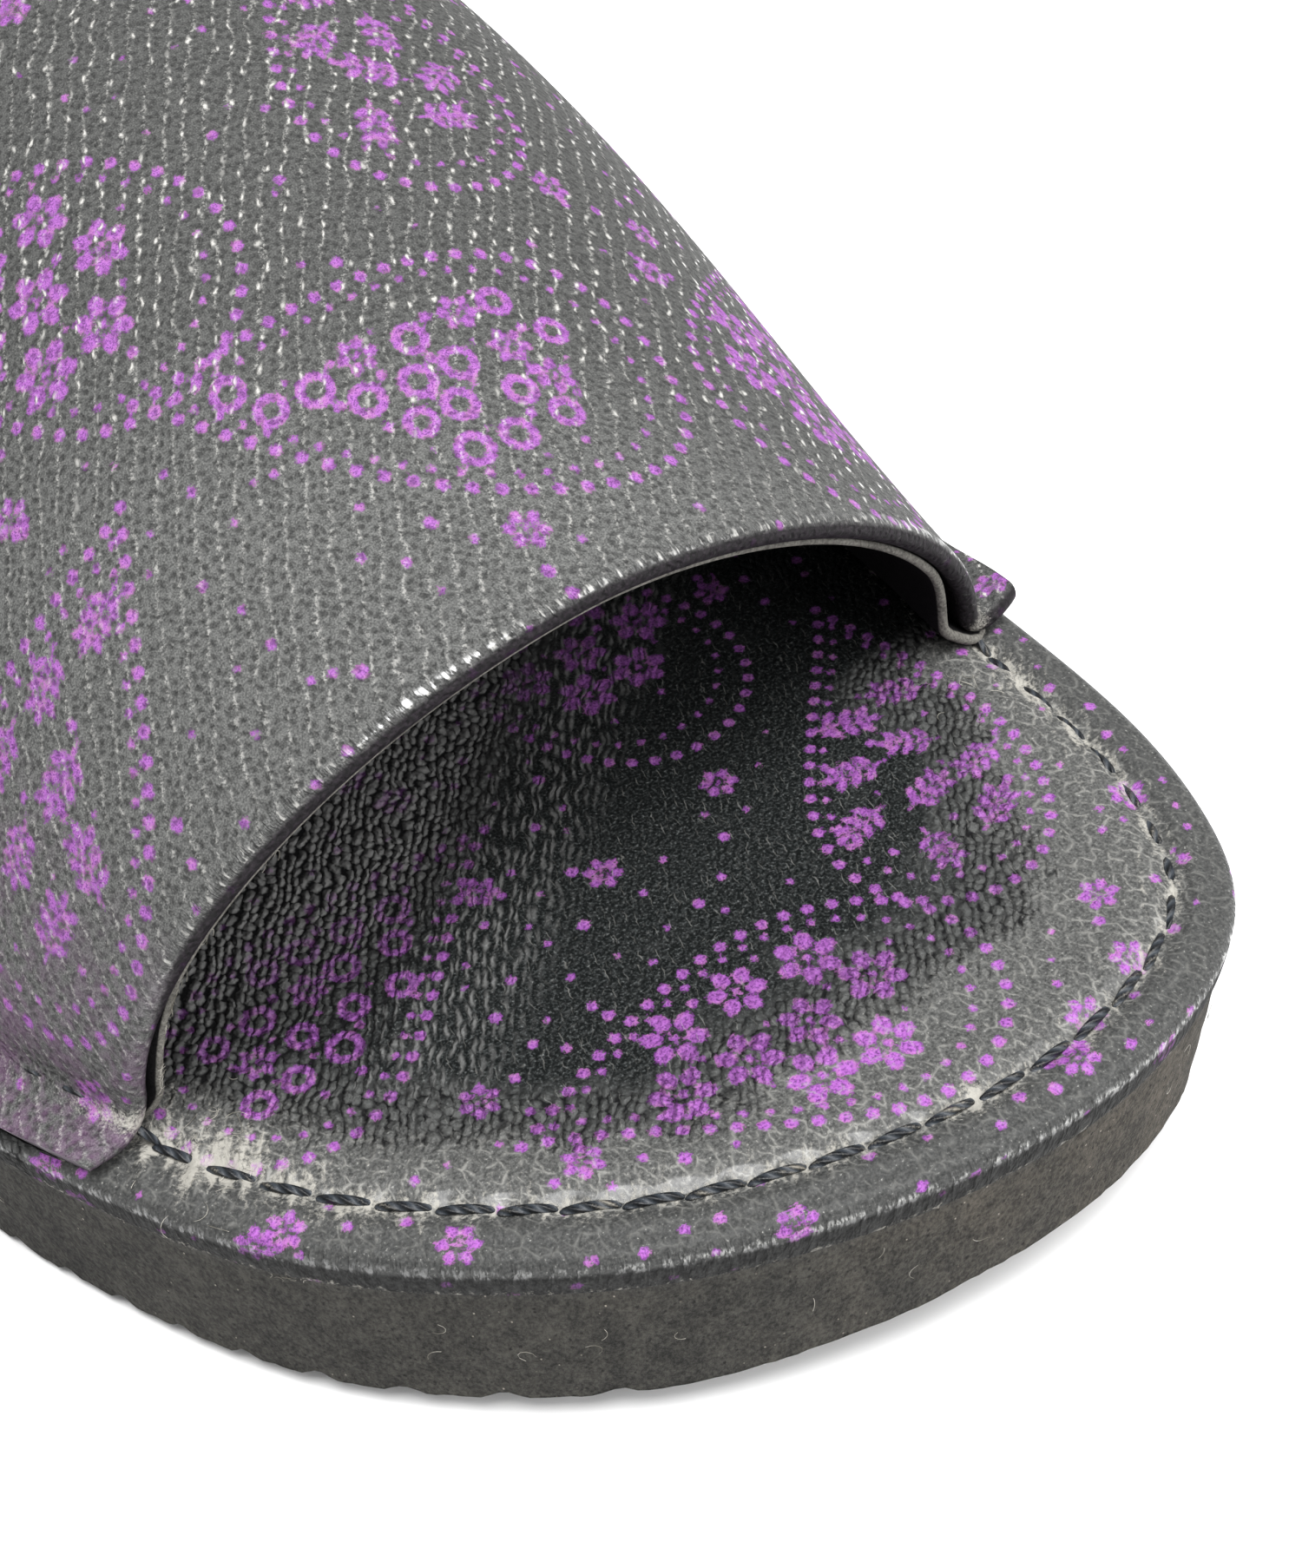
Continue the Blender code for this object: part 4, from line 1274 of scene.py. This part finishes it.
def loosen_lining(grid):
    """Pull the lining's front corners away from the cover, and the outer one a little forward."""
    normal, rear = grid_frame(grid)
    steps, width = grid.shape[:2]
    above = grid[:, :, 2] - flange_height(grid[:, :, 1])
    back = np.linspace(0.0, STRAP_SIDE_LENGTH, steps)[:, None]
    out = flange_share(grid)
    grid = grid - normal * (COVER_THICKNESS + LINING_GAP)
    for corner in LINING_CORNERS:
        side = on_side(corner["side"], width)
        hold = eased(ramp(corner["top"] - above, 0.0, corner["top"] - corner["low"])) * side
        loose = corner["gap"] * hold * eased(ramp(above, 0.4, 2.2)) * bell(back, 0.0, corner["reach"])
        tucked = 4.0 * ramp(out, corner["hidden"], 0.3) * side * (above < 3.0)
        ahead = (corner["ahead"] * hold - tucked) * bell(back, 0.0, 8.0)
        grid = grid - normal * loose[:, :, None] - rear * ahead[:, :, None]
    return grid


lining_grid, lining_cloth = strap_face(LINING_STEPS, LINING_COLUMNS, LINING_SETBACK)
lining_grid = loosen_lining(lift_flanges(lining_grid))
lining_side = np.linspace(-1.0, 1.0, LINING_COLUMNS + 1)
outer_growth = (OUTER_LINING - CROWN_LINING) * lining_side**4
inner_growth = (INNER_LINING - CROWN_LINING) * lining_side**2
lining_thickness = CROWN_LINING + np.where(lining_side < 0.0, outer_growth, inner_growth)
strap_lining, _, lining_turned = strap_shell(
    "strap_lining", lining_grid, lining_cloth, lining_thickness, LINING_STEPS
)
add_values(strap_lining, "cut", np.where((lining_turned > 0.0) & (lining_turned < 1.0), 1.0, 0.0))
strap_lining.data.materials.append(felt_material())
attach(strap_lining, "root")
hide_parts("upper")

# Stitches. One line of heavy dark thread runs round the footbed, and on the strap's flanges it lies in the
# crease of the fold. Each stitch is a short twisted length of thread that dips into its holes.
STITCH_LENGTH = 5.1
THREAD_RADIUS = 0.41
THREAD_PLIES = 3
THREAD_TWIST = 1.2
STITCH_SLANT = 4.0
STITCH_RINGS = 9
STITCH_SIDES = 8
FLANGE_STEP = 2.5
STITCH_SINK = 0.32
INNER_SINK = 0.42
INNER_SINK_X = 32.0
INNER_SINK_REACH = 8.0
FLANGE_CREASE = 0.75


def stitch_mesh():
    """One stitch along X, fat in the middle and thin at its holes, with its plies numbered."""
    points = []
    plies = []
    slant = math.radians(STITCH_SLANT)
    for share in np.linspace(0.0, 1.0, STITCH_RINGS + 1):
        swell = max(np.sin(np.pi * share), 0.0) ** 0.4
        radius = THREAD_RADIUS * (0.35 + 0.65 * swell)
        level = 0.75 * swell - 0.55
        x = (share - 0.5) * STITCH_LENGTH
        for side in range(STITCH_SIDES):
            angle = 2.0 * np.pi * side / STITCH_SIDES - np.pi / 2.0
            y = radius * np.cos(angle)
            z = radius * 0.85 * np.sin(angle) + level
            across = x * math.sin(slant) + y * math.cos(slant)
            points.append((x * math.cos(slant) - y * math.sin(slant), across, z))
            plies.append(THREAD_PLIES * (side / STITCH_SIDES - THREAD_TWIST * share))
    faces = ring_wall(0, STITCH_SIDES, STITCH_RINGS + 1, flip=True)
    faces.append(tuple(range(STITCH_SIDES)))
    faces.append(tuple(range(STITCH_RINGS * STITCH_SIDES, (STITCH_RINGS + 1) * STITCH_SIDES))[::-1])
    piece = mesh_piece("one_stitch", points, faces)
    add_values(piece, "ply", np.array(plies))
    return piece


def thread_material():
    material, root, inputs = new_material("thread")
    place = place_on_piece(root)
    ply = stored(root, "ply")
    fibres = place.speckle(6.0, 3.0, 0.6)
    clouds = place.speckle(0.35, 2.0)
    strand = (ply * 2.0 * math.pi).sine() * 0.5 + 0.5
    # Ply crowns are painted lighter than the grooves between them: a painted highlight.
    colour = (fibres * 0.5 + strand * 0.5).rise(0.25, 0.75)
    colour = colour.blend((0.004, 0.005, 0.007), (0.028, 0.034, 0.042))
    grey = (clouds * 0.6 + fibres * 0.4).rise(0.50, 0.68) * (1.0 - strand)
    feed((grey * 0.8).blend(colour, (0.26, 0.24, 0.20)), inputs["Base Color"])
    feed(fibres.rise(0.3, 0.7, 0.35, 0.6), inputs["Roughness"])
    relief = strand + fibres * 0.3
    bump(root, relief, 1.0, 0.16, inputs)
    return material


def stitch_line():
    """Path of the stitch line round the footbed, raised onto the strap's flanges."""
    loop = EDGE - EDGE_OUT * STITCH_MARGIN
    back = loop[:, 1] - TOE_Y
    first = np.where(loop[:, 0] > 0.0, STRAP_ROWS[0]["inner_back"], STRAP_ROWS[0]["outer_back"])
    last = np.where(loop[:, 0] > 0.0, STRAP_ROWS[-1]["inner_back"], STRAP_ROWS[-1]["outer_back"])
    on_flange = ramp(back - first, -FLANGE_STEP / 2.0, FLANGE_STEP)
    on_flange *= ramp(last - back, -FLANGE_STEP / 2.0, FLANGE_STEP)
    sink = STITCH_SINK + INNER_SINK * ramp(loop[:, 0], INNER_SINK_X, INNER_SINK_REACH)
    level = footbed_level(loop[:, 1]) - sink + on_flange * (GAP + STRAP_WALL + FLANGE_CREASE)
    return np.column_stack((loop, level))


def thread_tree(stitch, material):
    """Node tree that lays a stitch at every pitch along a path."""
    tree = bpy.data.node_groups.new("stitches", "GeometryNodeTree")
    tree.interface.new_socket("Path", in_out="INPUT", socket_type="NodeSocketGeometry")
    pitch = tree.interface.new_socket("Pitch", in_out="INPUT", socket_type="NodeSocketFloat")
    tree.interface.new_socket("Stitches", in_out="OUTPUT", socket_type="NodeSocketGeometry")
    nodes = {}
    for name, kind in (
        ("start", "NodeGroupInput"),
        ("curve", "GeometryNodeMeshToCurve"),
        ("points", "GeometryNodeResampleCurve"),
        ("tangent", "GeometryNodeInputTangent"),
        ("along", "FunctionNodeAlignRotationToVector"),
        ("up", "FunctionNodeAlignRotationToVector"),
        ("stitch", "GeometryNodeObjectInfo"),
        ("lay", "GeometryNodeInstanceOnPoints"),
        ("real", "GeometryNodeRealizeInstances"),
        ("paint", "GeometryNodeSetMaterial"),
        ("end", "NodeGroupOutput"),
    ):
        nodes[name] = tree.nodes.new(kind)
    nodes["points"].mode = "LENGTH"
    nodes["along"].axis = "X"
    nodes["up"].axis = "Z"
    nodes["up"].pivot_axis = "X"
    nodes["up"].inputs["Vector"].default_value = (0.0, 0.0, 1.0)
    nodes["stitch"].inputs["Object"].default_value = stitch
    nodes["paint"].inputs["Material"].default_value = material
    for start, output, end, target in (
        ("start", "Path", "curve", "Mesh"),
        ("curve", "Curve", "points", "Curve"),
        ("start", "Pitch", "points", "Length"),
        ("tangent", "Tangent", "along", "Vector"),
        ("along", "Rotation", "up", "Rotation"),
        ("points", "Curve", "lay", "Points"),
        ("stitch", "Geometry", "lay", "Instance"),
        ("up", "Rotation", "lay", "Rotation"),
        ("lay", "Instances", "real", "Geometry"),
        ("real", "Geometry", "paint", "Geometry"),
        ("paint", "Geometry", "end", "Stitches"),
    ):
        tree.links.new(nodes[start].outputs[output], nodes[end].inputs[target])
    return tree, pitch.identifier


one_stitch = stitch_mesh()
path = stitch_line()
path_data = bpy.data.meshes.new("stitch_path")
links = [(i, (i + 1) % len(path)) for i in range(len(path))]
path_data.from_pydata((path * MM).tolist(), links, [])
path_object = bpy.data.objects.new("stitch_path", path_data)
bpy.context.scene.collection.objects.link(path_object)
tree, pitch_socket = thread_tree(one_stitch, thread_material())
layer = path_object.modifiers.new("stitches", "NODES")
layer.node_group = tree
layer[pitch_socket] = STITCH_PITCH * MM
bpy.context.view_layer.update()
laid = bpy.data.meshes.new_from_object(path_object.evaluated_get(bpy.context.evaluated_depsgraph_get()))
bpy.data.objects.remove(path_object)
bpy.data.objects.remove(one_stitch)
stitches = bpy.data.objects.new("stitches", laid)
bpy.context.scene.collection.objects.link(stitches)
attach(stitches, "root")

# Lint. Short pale fibres that cling to the foam's wall, to the cut edge of the lining and to the dusty
# stitches, and a frayed spot where the cover meets the foam.
LINT_RADIUS = 0.024
LINT_SEGMENTS = 6
LINT_GROUPS = (
    {"x": -17.0, "back": 16.0, "height": 9.0, "spread": 16.0, "count": 5, "length": 2.2, "on": "wall"},
    {"x": 3.0, "back": 8.0, "height": 10.0, "spread": 16.0, "count": 5, "length": 1.8, "on": "wall"},
    {"x": 36.0, "back": 12.0, "height": 11.0, "spread": 18.0, "count": 6, "length": 2.4, "on": "wall"},
    {"x": -50.0, "back": 70.0, "height": 10.0, "spread": 30.0, "count": 6, "length": 2.6, "on": "wall"},
    {"x": -32.2, "back": 27.5, "height": 17.6, "spread": 4.5, "count": 22, "length": 1.0, "on": "wall"},
    {"x": -34.0, "back": 38.0, "height": 0.0, "spread": 5.0, "count": 30, "length": 1.8, "on": "top"},
    {"x": 44.0, "back": 40.0, "height": 0.0, "spread": 4.0, "count": 10, "length": 1.6, "on": "top"},
    {"x": 0.0, "back": 0.0, "height": 8.0, "spread": 10.0, "count": 36, "length": 1.3, "on": "lining"},
)


def fibre(start, heading, side, bend, length):
    """Points and faces of one bent fibre, three-sided and closed at its ends."""
    rings = []
    for share in np.linspace(0.0, 1.0, LINT_SEGMENTS + 1):
        turn = bend * (share - 0.5)
        centre = start + length * (share - 0.5) * (heading * np.cos(turn) + side * np.sin(turn))
        up = np.cross(heading, side)
        for corner in range(3):
            angle = 2.0 * np.pi * corner / 3.0
            rings.append(centre + LINT_RADIUS * (side * np.cos(angle) + up * np.sin(angle)))
    faces = ring_wall(0, 3, LINT_SEGMENTS + 1)
    return rings, faces + [(2, 1, 0), tuple(range(3 * LINT_SEGMENTS, 3 * LINT_SEGMENTS + 3))]


def lint_mesh():
    random = np.random.default_rng(23)
    upright = np.array((0.0, 0.0, 1.0))
    points = []
    faces = []
    for group in LINT_GROUPS:
        for _ in range(group["count"]):
            scatter = random.normal(0.0, 0.5, 2) * group["spread"]
            plan = np.array((group["x"], TOE_Y + group["back"])) + scatter
            _, index, _ = edge_tree.find((*plan, 0.0))
            out = np.array((*EDGE_OUT[index], 0.0))
            if group["on"] == "wall":
                height = group["height"] + random.normal(0.0, 0.12) * min(group["spread"], 20.0)
                spot = np.array((*EDGE[index], foam_top(EDGE[index, 1]) - FOAM_THICKNESS + height))
                spot -= out * (FOAM_TOP_INSET - 0.12)
                first = upright
            elif group["on"] == "lining":
                height = abs(group["height"] + random.normal(0.0, 0.5) * group["spread"])
                rises = lining_grid[0, : LINING_COLUMNS // 2, 2] - flange_height(lining_grid[0, 0, 1])
                spot = lining_grid[0, np.abs(rises - height).argmin()] + (0.3, -0.5, 0.0)
                first, out = upright, np.array((0.6, -0.8, 0.0))
            else:
                away, run = edge_distance(plan[None, :])
                relief = footbed_relief(plan[None, :], away, run)[0]
                spot = np.array((*plan, footbed_level(plan[1]) + relief + 0.1))
                first, out = out, upright
            second = np.cross(out, first)
            turn = random.uniform(0.0, 2.0 * np.pi)
            heading = first * np.cos(turn) + second * np.sin(turn)
            side = second * np.cos(turn) - first * np.sin(turn)
            length = group["length"] * random.uniform(0.5, 1.3)
            ring, skin = fibre(spot, heading, side, random.uniform(-2.4, 2.4), length)
            faces += [tuple(corner + len(points) for corner in face) for face in skin]
            points += ring
    return mesh_piece("lint", points, faces)


def lint_material():
    material, root, inputs = new_material("lint")
    place = place_on_piece(root)
    tone = place.speckle(0.8, 2.0).rise(0.35, 0.65)
    feed(tone.blend((0.16, 0.15, 0.12), (0.46, 0.44, 0.39)), inputs["Base Color"])
    inputs["Roughness"].default_value = 0.9
    return material


lint = lint_mesh()
lint.data.materials.append(lint_material())
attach(lint, "root")

# Studio. A pale floor, a soft light overhead with weaker ones from the front and the inner side, and the
# camera close over the toe.
FLOOR_SIZE = 3000.0


def floor_material():
    material, _, inputs = new_material("pale_floor")
    inputs["Base Color"].default_value = (0.9, 0.9, 0.9, 1.0)
    inputs["Roughness"].default_value = 0.9
    return material


corners = [(x * FLOOR_SIZE, y * FLOOR_SIZE, 0.0) for x, y in ((-1, -1), (1, -1), (1, 1), (-1, 1))]
floor = mesh_piece("floor", corners, [(0, 1, 2, 3)])
floor.data.materials.append(floor_material())


def soft_light(name, place, aim, size, watts):
    lamp = bpy.data.lights.new(name, "AREA")
    lamp.shape = "SQUARE"
    lamp.size = size
    lamp.energy = watts
    holder = bpy.data.objects.new(name, lamp)
    holder.location = place
    holder.rotation_euler = (Vector(aim) - Vector(place)).to_track_quat("-Z", "Y").to_euler()
    bpy.context.scene.collection.objects.link(holder)


LIGHT_AIM = (0.0, -0.08, 0.02)
soft_light("overhead", (-0.12, -0.26, 1.18), (0.0, -0.07, 0.02), 0.55, 17.0)
soft_light("front", (0.30, -0.85, 0.60), LIGHT_AIM, 0.5, 4.5)
soft_light("side", (0.7, -0.5, 0.9), LIGHT_AIM, 0.8, 7.5)
world = bpy.data.worlds.new("studio")
world.use_nodes = True
world.node_tree.nodes["Background"].inputs["Color"].default_value = (1.0, 1.0, 1.0, 1.0)
world.node_tree.nodes["Background"].inputs["Strength"].default_value = 0.42
bpy.context.scene.world = world
bpy.context.scene.view_settings.view_transform = "Standard"

CAMERA_PLACE = (-56.3, -204.7, 168.9)
CAMERA_YAW = 32.8
CAMERA_PITCH = 47.85
CAMERA_ROLL = 3.61
FOCAL_PIXELS = 2600.0
PHOTO_HEIGHT = 1806.0
SENSOR = 36.0
yaw, pitch, roll = (math.radians(angle) for angle in (CAMERA_YAW, CAMERA_PITCH, CAMERA_ROLL))
forward = Vector((math.sin(yaw) * math.cos(pitch), math.cos(yaw) * math.cos(pitch), -math.sin(pitch)))
level_right = forward.cross(Vector((0.0, 0.0, 1.0))).normalized()
level_down = forward.cross(level_right)
right = level_right * math.cos(roll) + level_down * math.sin(roll)
down = level_down * math.cos(roll) - level_right * math.sin(roll)
lens = bpy.data.cameras.new("camera")
lens.sensor_width = SENSOR
lens.lens = FOCAL_PIXELS / PHOTO_HEIGHT * SENSOR
lens.clip_start = 0.01
camera = bpy.data.objects.new("camera", lens)
turn = Matrix((right, -down, -forward)).transposed().to_4x4()
camera.matrix_world = Matrix.Translation(Vector(CAMERA_PLACE) * MM) @ turn
bpy.context.scene.collection.objects.link(camera)
bpy.context.scene.camera = camera
